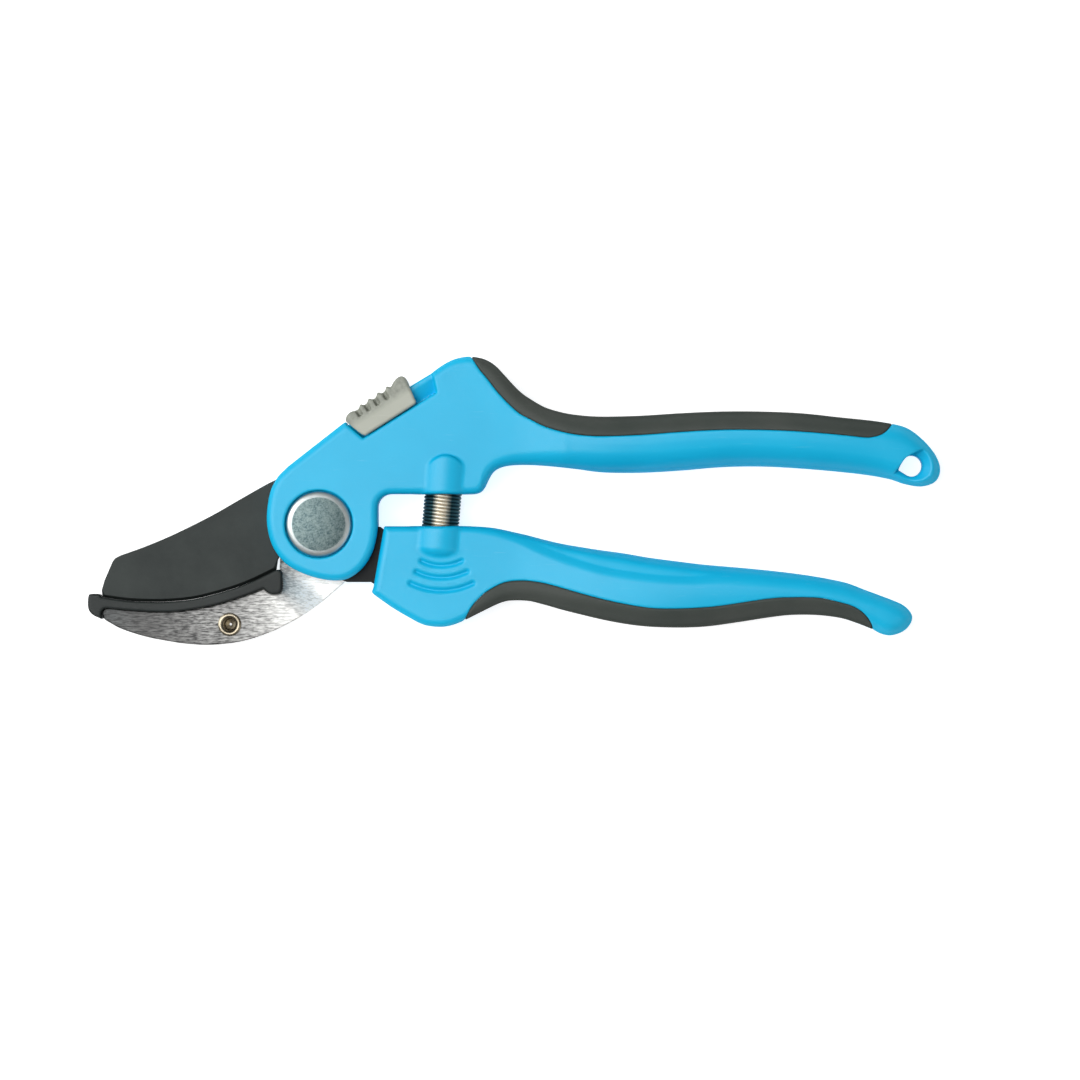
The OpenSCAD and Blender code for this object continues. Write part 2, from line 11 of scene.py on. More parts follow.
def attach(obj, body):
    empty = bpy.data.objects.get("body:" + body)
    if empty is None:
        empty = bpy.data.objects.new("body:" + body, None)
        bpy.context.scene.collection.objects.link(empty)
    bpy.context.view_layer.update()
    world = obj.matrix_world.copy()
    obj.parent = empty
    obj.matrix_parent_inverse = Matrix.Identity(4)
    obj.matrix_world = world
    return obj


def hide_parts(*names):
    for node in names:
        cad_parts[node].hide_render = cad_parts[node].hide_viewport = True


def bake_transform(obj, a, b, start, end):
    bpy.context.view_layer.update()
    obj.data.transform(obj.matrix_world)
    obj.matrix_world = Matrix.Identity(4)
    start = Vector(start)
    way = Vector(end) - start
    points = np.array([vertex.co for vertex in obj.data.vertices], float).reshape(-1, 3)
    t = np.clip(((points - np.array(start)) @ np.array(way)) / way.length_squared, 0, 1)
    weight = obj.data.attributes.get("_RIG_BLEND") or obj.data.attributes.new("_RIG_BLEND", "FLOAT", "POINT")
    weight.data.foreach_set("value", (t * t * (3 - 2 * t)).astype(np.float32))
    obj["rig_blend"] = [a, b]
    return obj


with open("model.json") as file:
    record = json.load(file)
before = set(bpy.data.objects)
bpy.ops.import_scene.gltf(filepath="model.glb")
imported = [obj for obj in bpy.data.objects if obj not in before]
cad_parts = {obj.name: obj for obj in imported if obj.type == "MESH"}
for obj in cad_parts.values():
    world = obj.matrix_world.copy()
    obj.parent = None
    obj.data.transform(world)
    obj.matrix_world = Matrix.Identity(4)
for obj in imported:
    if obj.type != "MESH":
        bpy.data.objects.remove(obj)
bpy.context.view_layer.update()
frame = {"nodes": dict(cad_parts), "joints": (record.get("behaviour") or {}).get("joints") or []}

# ---- The table, the camera and the light ----
# The shears lie on their back face on a pale table, seen from straight above. Every piece below is drawn in
# millimetres around the pivot: x towards the handle ends, y across the handles, z up from the table.
hinge = next(j for j in frame["joints"] if j["name"] == "handle_opening")
lock_joint = next(j for j in frame["joints"] if j["name"] == "lock_slide")
pivot_on_table = np.array([hinge["pos_m"][0], hinge["pos_m"][1], 0.0])
middle = 8.5

scene = bpy.context.scene
scene.view_settings.view_transform = "Standard"
view_width = 259.2
view_centre = (52.9, -3.8)
camera_height = 1500.0

camera_data = bpy.data.cameras.new("camera")
camera_data.sensor_width = 36.0
camera_data.lens = 36.0 * camera_height / view_width
camera_data.clip_end = 10.0
camera = bpy.data.objects.new("camera", camera_data)
camera.location = pivot_on_table + 0.001 * np.array([*view_centre, camera_height + middle])
scene.collection.objects.link(camera)
scene.camera = camera

world = bpy.data.worlds.new("room")
world.use_nodes = True
air = world.node_tree.nodes["Background"].inputs
air["Color"].default_value = (1.0, 1.0, 1.0, 1.0)
air["Strength"].default_value = 0.2
scene.world = world


def softbox(name, where, size, watts):
    data = bpy.data.lights.new(name, "AREA")
    data.shape = "RECTANGLE"
    data.size, data.size_y = size
    data.energy = watts
    lamp = bpy.data.objects.new(name, data)
    lamp.location = where
    lamp.rotation_euler = Vector(where).to_track_quat("Z", "Y").to_euler()
    scene.collection.objects.link(lamp)


softbox("overhead_softbox", (-0.52, 0.14, 1.8), (1.1, 1.2), 23.5)
softbox("left_softbox", (-1.1, 0.35, 1.0), (0.9, 0.9), 9.0)
softbox("right_fill", (0.9, -0.4, 0.9), (0.7, 0.7), 1.4)

floor_mesh = bpy.data.meshes.new("table")
floor_mesh.from_pydata([(-3, -3, 0), (3, -3, 0), (3, 3, 0), (-3, 3, 0)], [], [(0, 1, 2, 3)])
table = bpy.data.objects.new("table", floor_mesh)
scene.collection.objects.link(table)
table_paper = bpy.data.materials.new("table_paper")
table_paper.use_nodes = True
paper = table_paper.node_tree.nodes["Principled BSDF"].inputs
paper["Base Color"].default_value = (0.6, 0.6, 0.6, 1.0)
paper["Roughness"].default_value = 0.9
paper["Specular IOR Level"].default_value = 0.1
paper["Emission Color"].default_value = (1.0, 1.0, 1.0, 1.0)
paper["Emission Strength"].default_value = 0.76
table.data.materials.append(table_paper)


# ---- Upper handle ----
# One moulding in blue glass-filled nylon: two flat cheeks around the pivot, a hump for the heel of the hand
# and a rounded handle that ends in a thinner hanging loop. The anvil's tang is pressed into it.


def bend(points, steps=8):
    """A smooth line through the points."""
    p = np.array(points, float)
    p = np.vstack([2 * p[0] - p[1], p, 2 * p[-1] - p[-2]])
    t = np.linspace(0, 1, steps, endpoint=False)[:, None]
    line = [
        0.5 * (2 * b + (c - a) * t + (2 * a - 5 * b + 4 * c - d) * t**2 + (3 * b - a - 3 * c + d) * t**3)
        for a, b, c, d in zip(p[:-3], p[1:-2], p[2:-1], p[3:])
    ]
    return np.vstack(line + [p[-2][None]])


def arc(centre, radius, start, end, steps=10):
    a = np.radians(np.linspace(start, end, steps + 1))
    return np.array(centre) + radius * np.stack([np.cos(a), np.sin(a)], axis=1)


def template(outline, step=0.2, margin=5.0):
    """How far a place lies outside the outline, in mm, and less than zero inside it."""
    p = np.asarray(outline, float)
    low = p.min(axis=0) - margin
    size = np.ceil((p.max(axis=0) + margin - low) / step).astype(int) + 1
    x = (low[0] + step * np.arange(size[0]))[:, None]
    y = (low[1] + step * np.arange(size[1]))[None, :]
    nearest = np.full(size, 1e9)
    inside = np.zeros(size, bool)
    for (ax, ay), (bx, by) in zip(p, np.roll(p, -1, axis=0)):
        ex, ey = bx - ax, by - ay
        length = ex * ex + ey * ey
        if length < 1e-12:
            continue
        t = np.clip(((x - ax) * ex + (y - ay) * ey) / length, 0, 1)
        nearest = np.minimum(nearest, (x - ax - t * ex) ** 2 + (y - ay - t * ey) ** 2)
        if ay != by:
            crosses = ((y >= ay) != (y >= by)) & (x < ax + (y - ay) * ex / ey)
            inside ^= crosses
    sheet = np.where(inside, -1, 1) * np.sqrt(nearest)

    def read(x, y):
        x, y = np.broadcast_arrays(x, y)
        u = np.clip((x - low[0]) / step, 0, size[0] - 1.001)
        v = np.clip((y - low[1]) / step, 0, size[1] - 1.001)
        i, j = u.astype(int), v.astype(int)
        u, v = u - i, v - j
        return (sheet[i, j] * (1 - u) + sheet[i + 1, j] * u) * (1 - v) + (
            sheet[i, j + 1] * (1 - u) + sheet[i + 1, j + 1] * u
        ) * v

    return read


def both(a, b, soft=0.0):
    """The part of a that is also in b, with the edge between them rounded."""
    if soft == 0:
        return np.maximum(a, b)
    h = np.clip(0.5 + 0.5 * (a - b) / soft, 0, 1)
    return b + (a - b) * h + soft * h * (1 - h)


def joined(a, b, soft=0.0):
    """a and b as one, with a fillet between them."""
    return -both(-a, -b, soft)


def along(places, values):
    """A size that changes smoothly along the handle."""
    line = bend(np.stack([places, values], axis=1), 10)
    return lambda x: np.interp(x, line[:, 0], line[:, 1])


def rounded(distance, height, radius):
    """A flat shape given height to each side, with its edges rounded over."""
    a, b = distance + radius, height + radius
    return np.minimum(np.maximum(a, b), 0) + np.hypot(np.maximum(a, 0), np.maximum(b, 0)) - radius


def place(points):
    """From millimetres around the pivot to the frame."""
    return np.asarray(points, float) * 0.001 + pivot_on_table


def smooth_shade(mesh, angle=None):
    mesh.polygons.foreach_set("use_smooth", np.ones(len(mesh.polygons), bool))
    if angle is not None:
        mesh.set_sharp_from_angle(angle=math.radians(angle))
    mesh.update()


def piece(name, points, faces, angle=None):
    mesh = bpy.data.meshes.new(name)
    mesh.from_pydata(place(points).tolist(), [], [tuple(f) for f in faces])
    mesh.validate()
    smooth_shade(mesh, angle)
    thing = bpy.data.objects.new(name, mesh)
    scene.collection.objects.link(thing)
    return thing


def mould(name, solid, low, high, step, passes=4):
    """The skin of a moulded solid: four-sided faces settled onto the surface where solid(x, y, z) is zero."""
    low = np.array(low, float)
    axes = [np.arange(a, b + step, step) for a, b in zip(low, high)]
    f = solid(*np.meshgrid(*axes, indexing="ij", sparse=True))
    f = np.array(np.broadcast_to(f, [len(a) for a in axes]))
    full = f < 0
    n = np.array(f.shape) - 1
    count = np.zeros(n, np.int8)
    for i in (0, 1):
        for j in (0, 1):
            for k in (0, 1):
                count += full[i : n[0] + i, j : n[1] + j, k : n[2] + k]
    cells = np.argwhere((count > 0) & (count < 8))
    number = np.full(n, -1, np.int64)
    number[tuple(cells.T)] = np.arange(len(cells))
    unit = np.eye(3, dtype=int)
    total, hits = np.zeros((len(cells), 3)), np.zeros(len(cells))
    quads = []
    for a in range(3):
        b, c = (a + 1) % 3, (a + 2) % 3
        for j in (0, 1):
            for k in (0, 1):
                start = unit[b] * j + unit[c] * k
                fa, fb = f[tuple((cells + start).T)], f[tuple((cells + start + unit[a]).T)]
                cut = (fa < 0) != (fb < 0)
                t = np.where(cut, fa / np.where(cut, fa - fb, 1), 0)
                total += np.where(cut[:, None], start + t[:, None] * unit[a], 0)
                hits += cut
        first = [slice(None)] * 3
        last = [slice(None)] * 3
        first[a], last[a] = slice(None, -1), slice(1, None)
        edges = np.argwhere(full[tuple(first)] != full[tuple(last)])
        ring = [
            number[tuple((edges + unit[b] * (j - 1) + unit[c] * (k - 1)).T)]
            for j, k in ((0, 0), (1, 0), (1, 1), (0, 1))
        ]
        ring = np.stack(ring, axis=1)
        inward = ~full[tuple(edges.T)]
        ring[inward] = ring[inward][:, ::-1]
        quads.append(ring)
    quads = np.vstack(quads)
    points = low + (cells + total / hits[:, None]) * step

    pairs = np.vstack([quads[:, [k, (k + 1) % 4]] for k in range(4)])
    pairs = np.unique(np.sort(pairs, axis=1), axis=0)
    one, two = np.concatenate([pairs, pairs[:, ::-1]]).T
    neighbours = np.bincount(one, minlength=len(points))

    def settle(p):
        reach = 0.02
        here = solid(p[:, 0], p[:, 1], p[:, 2])
        slope = np.stack([(solid(*(p + reach * unit[a]).T) - here) / reach for a in range(3)], axis=1)
        steep = np.maximum((slope**2).sum(axis=1), 0.2)
        move = -(here / steep)[:, None] * slope
        return p + np.clip(move, -0.5 * step, 0.5 * step)

    points = settle(points)
    for turn in range(passes):
        mean = np.stack([np.bincount(one, points[two, a], len(points)) for a in range(3)], axis=1)
        points = settle(points + 0.5 * (mean / neighbours[:, None] - points))
    points = settle(points)
    return piece(name, points, quads)


upper_edge = np.vstack([
    bend([
        (27.0, 36.2), (28.9, 37.6), (30.9, 38.8), (32.8, 39.6), (35.7, 40.1), (38.5, 39.8), (40.5, 39.1),
        (42.4, 37.8), (44.3, 35.8), (46.2, 33.7), (48.1, 31.8), (50.1, 30.3), (53.9, 28.1), (57.7, 26.9),
        (61.6, 26.2), (67.3, 25.8), (76.9, 26.0), (86.5, 26.6), (96.1, 27.0), (105.7, 27.0), (115.3, 26.6),
        (124.9, 25.6), (132.6, 24.8), (137.7, 24.0), (140.3, 23.3), (142.2, 22.3), (144.1, 20.8),
        (146.1, 18.8), (148.0, 16.2), (148.9, 13.5), (148.5, 11.2), (147.0, 9.7), (144.1, 9.0), (140.3, 9.6),
        (136.5, 10.8), (129.7, 11.9), (120.1, 12.9), (110.5, 13.6), (103.8, 13.8), (96.1, 13.6), (86.5, 12.8),
        (76.9, 12.3), (68.0, 12.4), (61.6, 13.2), (53.9, 14.0), (48.1, 14.2), (44.3, 13.8), (42.0, 12.7),
        (40.7, 10.8), (39.8, 8.9), (38.8, 7.7), (37.4, 7.2),
    ]),
    arc((17.3, 4.0), 3.2, 90, 180),
    bend([
        (14.1, 2.5), (14.0, -1.5), (12.9, -6.4), (10.6, -10.3), (7.4, -12.8), (4.2, -13.5), (0.0, -13.0),
        (-4.5, -11.5), (-8.2, -9.2), (-11.0, -5.5), (-12.3, -1.0), (-12.4, 3.2), (-11.6, 7.8), (-9.9, 11.2),
        (-7.4, 13.8),
    ]),
    [(5.9, 24.2)],
])
upper_template = template(upper_edge)
# half the thickness along the handle, how far its edges are rounded, and how its faces fall away to the sides
upper_half = along(
    [-20, 30, 42, 50, 60, 68, 77, 87, 96, 106, 116, 126, 135, 141, 146, 149],
    [6.1, 6.1, 6.1, 6.3, 7.2, 7.8, 8.2, 8.45, 8.5, 8.4, 8.2, 7.8, 7.0, 6.2, 5.2, 4.2],
)
upper_round = along([-20, 33, 40, 50, 60, 75, 125, 140, 149], [1.7, 1.8, 2.4, 3.4, 4.4, 5.2, 5.0, 4.2, 3.2])
upper_crown = along([-20, 44, 60, 80, 125, 149], [0.0, 0.0, 0.6, 1.1, 1.0, 0.5])
upper_ridge = along([-20, 50, 60, 77, 96, 116, 130, 138, 149], [50, 32, 26, 24, 24.5, 24.2, 22.8, 20.5, 17.0])
upper_slope = along([-20, 50, 62, 80, 95, 130, 142, 149], [0, 0, 0.004, 0.016, 0.021, 0.021, 0.012, 0.005])
crown_width = 2.2


def upper_moulding(x, y, z):
    d = upper_template(x, y)
    half = upper_half(x) - upper_crown(x) * np.exp(d / crown_width)
    half = half - upper_slope(x) * np.minimum(y - upper_ridge(x), 0) ** 2
    return rounded(d, np.abs(z - middle) - half, upper_round(x))


# where the soft grip is moulded on, along the back of the handle
upper_seam = bend([
    (35.6, 41.4), (36.9, 39.3), (38.5, 36.9), (40.5, 34.5), (42.4, 32.0), (44.3, 29.9), (46.2, 28.0),
    (48.1, 26.4),
    (50.1, 25.3), (53.9, 23.4), (57.7, 22.2), (61.6, 21.4), (67.3, 21.0), (76.9, 21.3), (86.5, 22.0),
    (96.1, 22.5), (105.7, 22.5), (115.3, 22.1), (124.9, 21.3), (130.7, 20.7), (132.8, 20.9), (134.7, 21.5),
    (136.4, 22.9), (138.4, 25.6),
])
upper_grip_template = template(np.vstack([upper_seam, [(138.4, 48), (35.6, 48)]]))

# the coil's axis leans a little, and sits in a pocket behind a swelling in each face
coil_centre = np.array([29.35, 3.6, middle])
coil_axis = np.array([math.sin(math.radians(5)), math.cos(math.radians(5)), 0.0])
swelling_r, pocket_r = 7.6, 4.9


def coil_rod(x, y, z, radius, start, end, dome=1.0):
    """A rod along the coil's axis; its ends are domed, and dome tells how far they stand out."""
    rx, ry, rz = x - coil_centre[0], y - coil_centre[1], z - coil_centre[2]
    t = rx * coil_axis[0] + ry * coil_axis[1]
    aside = (rx - t * coil_axis[0]) ** 2 + (ry - t * coil_axis[1]) ** 2 + rz**2
    past = (t - np.clip(t, start, end)) / dome
    return (np.sqrt(aside + past**2) - radius) * np.where(past == 0, 1.0, min(dome, 1.0))


# the lock slides along a line that points at the pivot
slide_direction = np.array(lock_joint["axis"][:2])
slide_corner = (20.2, 12.0)


def along_slide(x, y):
    """Places measured from the slide's front lower corner, along the slide and away from the pivot line."""
    u = x * slide_direction[0] + y * slide_direction[1] - slide_corner[0]
    v = -x * slide_direction[1] + y * slide_direction[0] - slide_corner[1]
    return u, v


slide_recess_template = template([
    (-0.3, -0.2), (20.35, -0.2), (21.6, 3.4), (22.2, 9.0), (-3.0, 9.0), (-2.1, 5.4),
], 0.1)
# the rib that the slide rides on: half its thickness, its upper edge, and where it ends behind the front wall
rib_half = 4.3
rib_line = 4.4
rib_front = -1.75
# where the lock plate and its legs run, in the slide's own directions from the pivot
lock_rooms = [(9, 27.3, -1.5, 1.5), (17.3, 27.3, 1.5, 9.8), (17.3, 35.2, 9.8, 15.2), (22.9, 33.8, 12, 30)]
cheek_gap_template = template(np.vstack([
    arc((0, 0), 11.4, 62, -1),
    [(30, -0.15), (30, -30), (-30, -30), (-30, 24), (-4, 24), (-2.6, 14.3)],
]), 0.15)
head_recess_r, nut_recess_r, shank_r = 8.16, 6.6, 4.1
seam_gap = 0.01
# the hole for hanging is a drop with its point towards the jaws, and the loop around it is thinner
hang_at = np.array([142.0, 13.9])
hang_r = 2.5
hang_way = 196
hang_point = arc(hang_at, 1.35 * hang_r, hang_way, hang_way, 1)[0]
hang_template = template(np.vstack([
    [hang_point], arc(hang_at, hang_r, hang_way + 317.8, hang_way + 42.2, 40),
]), 0.05)
loop_template = template(np.vstack([
    bend([(136.4, 3), (136.7, 8.5), (137.2, 11.0), (138.4, 13.1), (140.3, 15.4), (142.0, 16.8), (143.7, 17.6),
          (145.6, 18.1), (149, 18.6), (158, 19.0)]),
    [(158, 3)],
]), 0.15)


def upper_nylon(x, y, z):
    lift = z - middle
    body = upper_moulding(x, y, z)
    swell = both(coil_rod(x, y, z, swelling_r, -40, 40), upper_template(x, y) + 0.05, 0.9)
    end_wall = (y - coil_centre[1] - 12.9 + 0.115 * (x - 30.3) ** 2) * 0.85
    body = joined(body, both(both(swell, end_wall, 0.7), 4.0 - y), 0.4)
    u, v = along_slide(x, y)
    floor = rib_half - 0.42 * np.clip(3.2 - v, 0, 3.4)
    recess = both(slide_recess_template(u, v), floor - np.abs(lift), 0.0)
    body = both(body, -recess, 0.7)
    body = both(body, -both(both(slide_recess_template(u, v), rib_line - v), rib_front - u), 0.25)
    for left, right, low, high in lock_rooms:
        room = both(np.abs(u + slide_corner[0] - (left + right) / 2) - (right - left) / 2,
                    np.abs(v + slide_corner[1] - (low + high) / 2) - (high - low) / 2)
        body = both(body, -both(room, np.abs(lift) - 1.5))
    body = both(body, -both(cheek_gap_template(x, y), np.abs(lift) - 1.9), 0.25)
    body = both(body, -coil_rod(x, y, z, pocket_r, -9, 7.6), 0.3)
    ring = np.hypot(x, y)
    body = both(body, -both(ring - head_recess_r, middle + 3.7 - z), 0.35)
    body = both(body, -both(ring - nut_recess_r, z - 3.6), 0.3)
    body = both(body, -(ring - shank_r))
    hole = hang_template(x, y)
    dish = (np.abs(lift) - 2.7 - 0.75 * np.minimum(hole, 2.3)) * 0.8
    body = both(body, joined(-loop_template(x, y), dish, 0.3), 0.35)
    body = both(body, -hole, 0.4)
    return both(body, seam_gap - upper_grip_template(x, y), 0.35)


def group_of(name, inputs, outputs):
    """An effect shared between finishes."""
    group = bpy.data.node_groups.new(name, "ShaderNodeTree")
    for label, kind, value in inputs:
        socket = group.interface.new_socket(label, in_out="INPUT", socket_type=kind)
        socket.default_value = value
    for label, kind in outputs:
        group.interface.new_socket(label, in_out="OUTPUT", socket_type=kind)
    return group, group.nodes.new("NodeGroupInput"), group.nodes.new("NodeGroupOutput")


def node(tree, kind, links=(), **settings):
    """A node with its settings, and its sockets filled: a value is set, another node's socket is linked."""
    made = tree.nodes.new(kind)
    for key, value in settings.items():
        setattr(made, key, value)
    for socket, value in dict(links).items():
        if isinstance(value, bpy.types.NodeSocket):
            tree.links.new(value, made.inputs[socket])
        else:
            made.inputs[socket].default_value = value
    return made


def noise(tree, where, scale, detail, rough):
    settings = {"Vector": where, "Scale": scale, "Detail": detail, "Roughness": rough}
    return node(tree, "ShaderNodeTexNoise", settings).outputs["Fac"]


def maths(tree, operation, a, b=0.0):
    return node(tree, "ShaderNodeMath", {0: a, 1: b}, operation=operation).outputs[0]


def spread(tree, value, low, high, to_low=0.0, to_high=1.0):
    """A value stretched from one range to another, and held at its ends."""
    settings = {"Value": value, "From Min": low, "From Max": high, "To Min": to_low, "To Max": to_high}
    return node(tree, "ShaderNodeMapRange", settings).outputs[0]


def tinted(tree, share, colour, other):
    """A colour that gives way to the other one by its share."""
    return node(tree, "ShaderNodeMix", {"Factor": share, 6: colour, 7: other}, data_type="RGBA").outputs[2]


# fine spark-eroded mould grain, with a slow unevenness and a few handling scuffs
moulded_grain, grain_in, grain_out = group_of(
    "moulded_grain",
    [("Grain mm", "NodeSocketFloat", 0.3), ("Scuffs", "NodeSocketFloat", 0.3)],
    [("Height", "NodeSocketFloat"), ("Uneven", "NodeSocketFloat"), ("Scuff", "NodeSocketFloat")],
)
tree = moulded_grain
where = node(tree, "ShaderNodeTexCoord").outputs["Object"]
size = maths(tree, "DIVIDE", 1000.0, grain_in.outputs["Grain mm"])
stretch = {"Vector": where, "Rotation": (0.2, 0.1, 0.6), "Scale": (120.0, 1500.0, 600.0)}
marks = noise(tree, node(tree, "ShaderNodeMapping", stretch).outputs[0], 1.0, 4.0, 0.65)
scuff = maths(tree, "MULTIPLY", spread(tree, marks, 0.64, 0.76), grain_in.outputs["Scuffs"])
tree.links.new(noise(tree, where, size, 3.0, 0.6), grain_out.inputs["Height"])
tree.links.new(noise(tree, where, 55.0, 3.0, 0.5), grain_out.inputs["Uneven"])
tree.links.new(scuff, grain_out.inputs["Scuff"])


def rgb(red, green, blue):
    """A colour from 0 to 255 as the eye reads it."""
    shares = [c / 255 for c in (red, green, blue)]
    return tuple(c / 12.92 if c <= 0.04 else ((c + 0.055) / 1.055) ** 2.4 for c in shares) + (1.0,)


def finish(name):
    material = bpy.data.materials.new(name)
    material.use_nodes = True
    tree = material.node_tree
    return material, tree, tree.nodes["Principled BSDF"]


def dress(tree, shader, colour, rough, relief, strength, depth_mm, metal=0.0):
    """The shader's colour, roughness and relief, from the sockets of other nodes."""
    settings = {"Height": relief, "Strength": strength, "Distance": depth_mm * 0.001}
    bump = node(tree, "ShaderNodeBump", settings)
    for socket, value in (("Base Color", colour), ("Roughness", rough), ("Normal", bump.outputs[0])):
        tree.links.new(value, shader.inputs[socket])
    shader.inputs["Metallic"].default_value = metal


def plastic(name, colour, pale, wear_and_painted_reflection, grain_mm, depth_mm, rough, scuffs, shine=0.35):
    """Moulded plastic or rubber: its colour drifts a little, it is grained, and its scuffs are paler."""
    material, tree, shader = finish(name)
    skin = node(tree, "ShaderNodeGroup", {"Grain mm": grain_mm, "Scuffs": scuffs}, node_tree=moulded_grain)
    tone = tinted(tree, spread(tree, skin.outputs["Uneven"], 0.35, 0.65), colour, pale)
    rubbed = tinted(tree, skin.outputs["Scuff"], tone, wear_and_painted_reflection)
    gloss = spread(tree, skin.outputs["Height"], 0.3, 0.7, rough - 0.07, rough + 0.07)
    dress(tree, shader, rubbed, gloss, skin.outputs["Height"], 0.35, depth_mm)
    # a matt surface loses its glare where it turns away
    edge_on = node(tree, "ShaderNodeLayerWeight", {"Blend": 0.5}).outputs["Facing"]
    tree.links.new(spread(tree, edge_on, 0.08, 0.6, shine, 0.02), shader.inputs["Specular IOR Level"])
    return material


blue_nylon = plastic(
    "blue_nylon", rgb(4, 175, 219), rgb(10, 180, 224), rgb(120, 205, 236), 0.32, 0.05, 0.42, 0.2, 0.42)

upper_handle = mould("upper_handle_nylon", upper_nylon, (-14, -15, -0.4), (150.4, 41.8, 17.4), 0.36)
upper_handle.data.materials.append(blue_nylon)
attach(upper_handle, "upper")
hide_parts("upper_handle")


# ---- Upper grip ----
# Soft dark rubber moulded over the back of the upper handle, flush with the nylon, with a fine matt grain.


def upper_rubber(x, y, z):
    return both(upper_moulding(x, y, z), upper_grip_template(x, y) + 0.01, 0.35)


grip_rubber = plastic("grip_rubber", rgb(55, 62, 58), rgb(65, 70, 66), rgb(96, 98, 95), 0.26, 0.06, 0.62, 0.2)

upper_grip = mould("upper_grip_rubber", upper_rubber, (34, 18, -0.4), (140, 41.8, 17.4), 0.36)
upper_grip.data.materials.append(grip_rubber)
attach(upper_grip, "upper")
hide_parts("upper_grip")


# ---- Lower handle ----
# The same blue nylon over the blade's tang. A long facet runs along its inner edge, and three arcs are
# sunk in each face below the swelling for the coil.
lower_edge = np.vstack([
    [(15.6, -0.5)],
    bend([(13.0, -15.3), (12.7, -16.3), (13.6, -17.2)]),
    bend([
        (17.4, -19.9), (21.3, -22.2), (25.1, -24.1), (28.9, -24.6), (31.8, -24.2), (34.7, -23.1), (38.5, -21.2),
        (42.4, -19.3), (44.3, -18.6), (46.2, -18.3), (50.1, -18.4), (53.9, -19.3), (57.7, -20.4), (61.6, -21.4),
        (69.3, -23.2), (76.9, -24.4), (84.6, -24.8), (92.3, -24.6), (100.0, -23.6), (107.7, -22.4),
        (113.0, -21.8), (119.2, -21.8), (124.9, -22.5), (128.8, -23.7), (132.6, -25.2), (134.5, -26.2),
        (136.5, -26.7), (138.4, -26.4), (140.3, -25.5), (141.7, -24.0), (142.2, -22.4), (141.7, -21.0),
        (140.3, -19.6), (138.4, -18.6), (134.5, -17.1), (130.7, -15.7), (126.8, -14.2), (123.0, -13.3),
        (119.2, -12.6), (115.3, -12.0), (109.6, -11.3), (103.8, -10.7), (98.1, -10.2), (92.3, -9.7),
        (86.5, -9.0), (78.9, -8.0), (73.1, -7.0), (67.3, -6.2), (61.6, -5.3), (57.7, -4.6), (53.9, -3.7),
        (50.1, -2.7), (46.2, -1.8), (42.4, -1.0), (38.5, -0.6), (34.0, -0.5),
    ]),
])
lower_template = template(lower_edge)
lower_half = along(
    [10, 30, 42, 50, 60, 68, 77, 86, 96, 106, 113, 120, 125, 129, 133, 137, 142],
    [6.1, 6.1, 6.1, 6.3, 7.1, 7.8, 8.3, 8.5, 8.5, 8.3, 8.0, 7.5, 7.0, 6.6, 6.2, 5.6, 4.2],
)
lower_round = along(
    [10, 33, 42, 52, 62, 75, 108, 120, 130, 142], [1.7, 1.8, 2.4, 3.4, 4.3, 5.2, 4.8, 4.2, 3.6, 3.0])
lower_crown = along([10, 44, 60, 80, 120, 142], [0.0, 0.0, 0.6, 1.0, 0.9, 0.5])
facet_template = template(np.vstack([
    bend([
        (42.0, 0.0), (44.8, -2.4), (49.0, -4.9), (53.7, -7.3), (60.9, -10.0), (68.8, -12.2), (78.6, -13.7),
        (88.0, -14.3), (95.0, -13.8), (101.0, -12.7), (107.2, -11.3), (112.0, -10.0),
    ]),
    [(112, 6), (42, 6)],
]))
lower_seam = bend([
    (33.2, -26.0), (34.9, -22.8), (36.6, -19.7), (38.5, -17.6), (40.5, -15.9), (44.3, -14.0), (48.1, -13.5),
    (52.0, -13.8),
    (55.8, -14.6), (63.5, -16.8), (71.2, -18.7), (78.9, -20.0), (84.6, -20.2), (90.4, -20.0), (96.1, -19.5),
    (107.7, -17.8), (113.4, -17.5), (119.2, -17.6), (123.0, -18.3), (126.8, -19.3), (128.8, -20.2),
    (130.7, -21.7), (132.3, -24.0), (133.4, -27.5),
])
lower_grip_template = template(np.vstack([lower_seam, [(133.4, -34), (33.2, -34)]]))
lower_ridge = along([10, 60, 84, 96, 110, 122, 132, 142], [-5, -8, -13.5, -13.0, -12.8, -14.5, -18.0, -22.5])
lower_slope = along([10, 60, 78, 90, 100, 125, 136, 142], [0, 0, 0.004, 0.013, 0.016, 0.018, 0.012, 0.004])


def lower_moulding(x, y, z):
    d = lower_template(x, y)
    half = lower_half(x) - lower_crown(x) * np.exp(d / crown_width)
    half = half - lower_slope(x) * np.minimum(y - lower_ridge(x), 0) ** 2
    past = -facet_template(x, y)
    drop = 0.5 * np.clip(past, -3, 1.8) + 0.12 * np.maximum(past - 1.8, 0)
    facet = (np.abs(z - middle) - half + drop) * 0.9
    return both(rounded(d, np.abs(z - middle) - half, lower_round(x)), facet, 0.35)


# the middle of the three arcs, and how far the floor of their grooves lies from the handle's middle
arcs_at = (29.4, 0.8)
arc_floor = 5.4


def lower_nylon(x, y, z):
    lift = np.abs(z - middle)
    body = lower_moulding(x, y, z)
    swell = both(coil_rod(x, y, z, swelling_r, -9.2, 4, 0.5), lower_template(x, y) + 0.05, 0.9)
    body = joined(body, swell, 0.4)
    out = np.hypot(x - arcs_at[0], y - arcs_at[1])
    turn = np.abs(np.arctan2(x - arcs_at[0], arcs_at[1] - y))
    for radius in (10.75, 13.6, 16.7):
        past_end = np.maximum(turn - math.radians(26.5), 0) * radius
        mark = (arc_floor - lift + np.hypot(out - radius, past_end)) * 0.7
        body = both(body, -mark, 0.22)
    body = both(body, -coil_rod(x, y, z, pocket_r, -7.6, 9), 0.3)
    return both(body, seam_gap - lower_grip_template(x, y), 0.35)


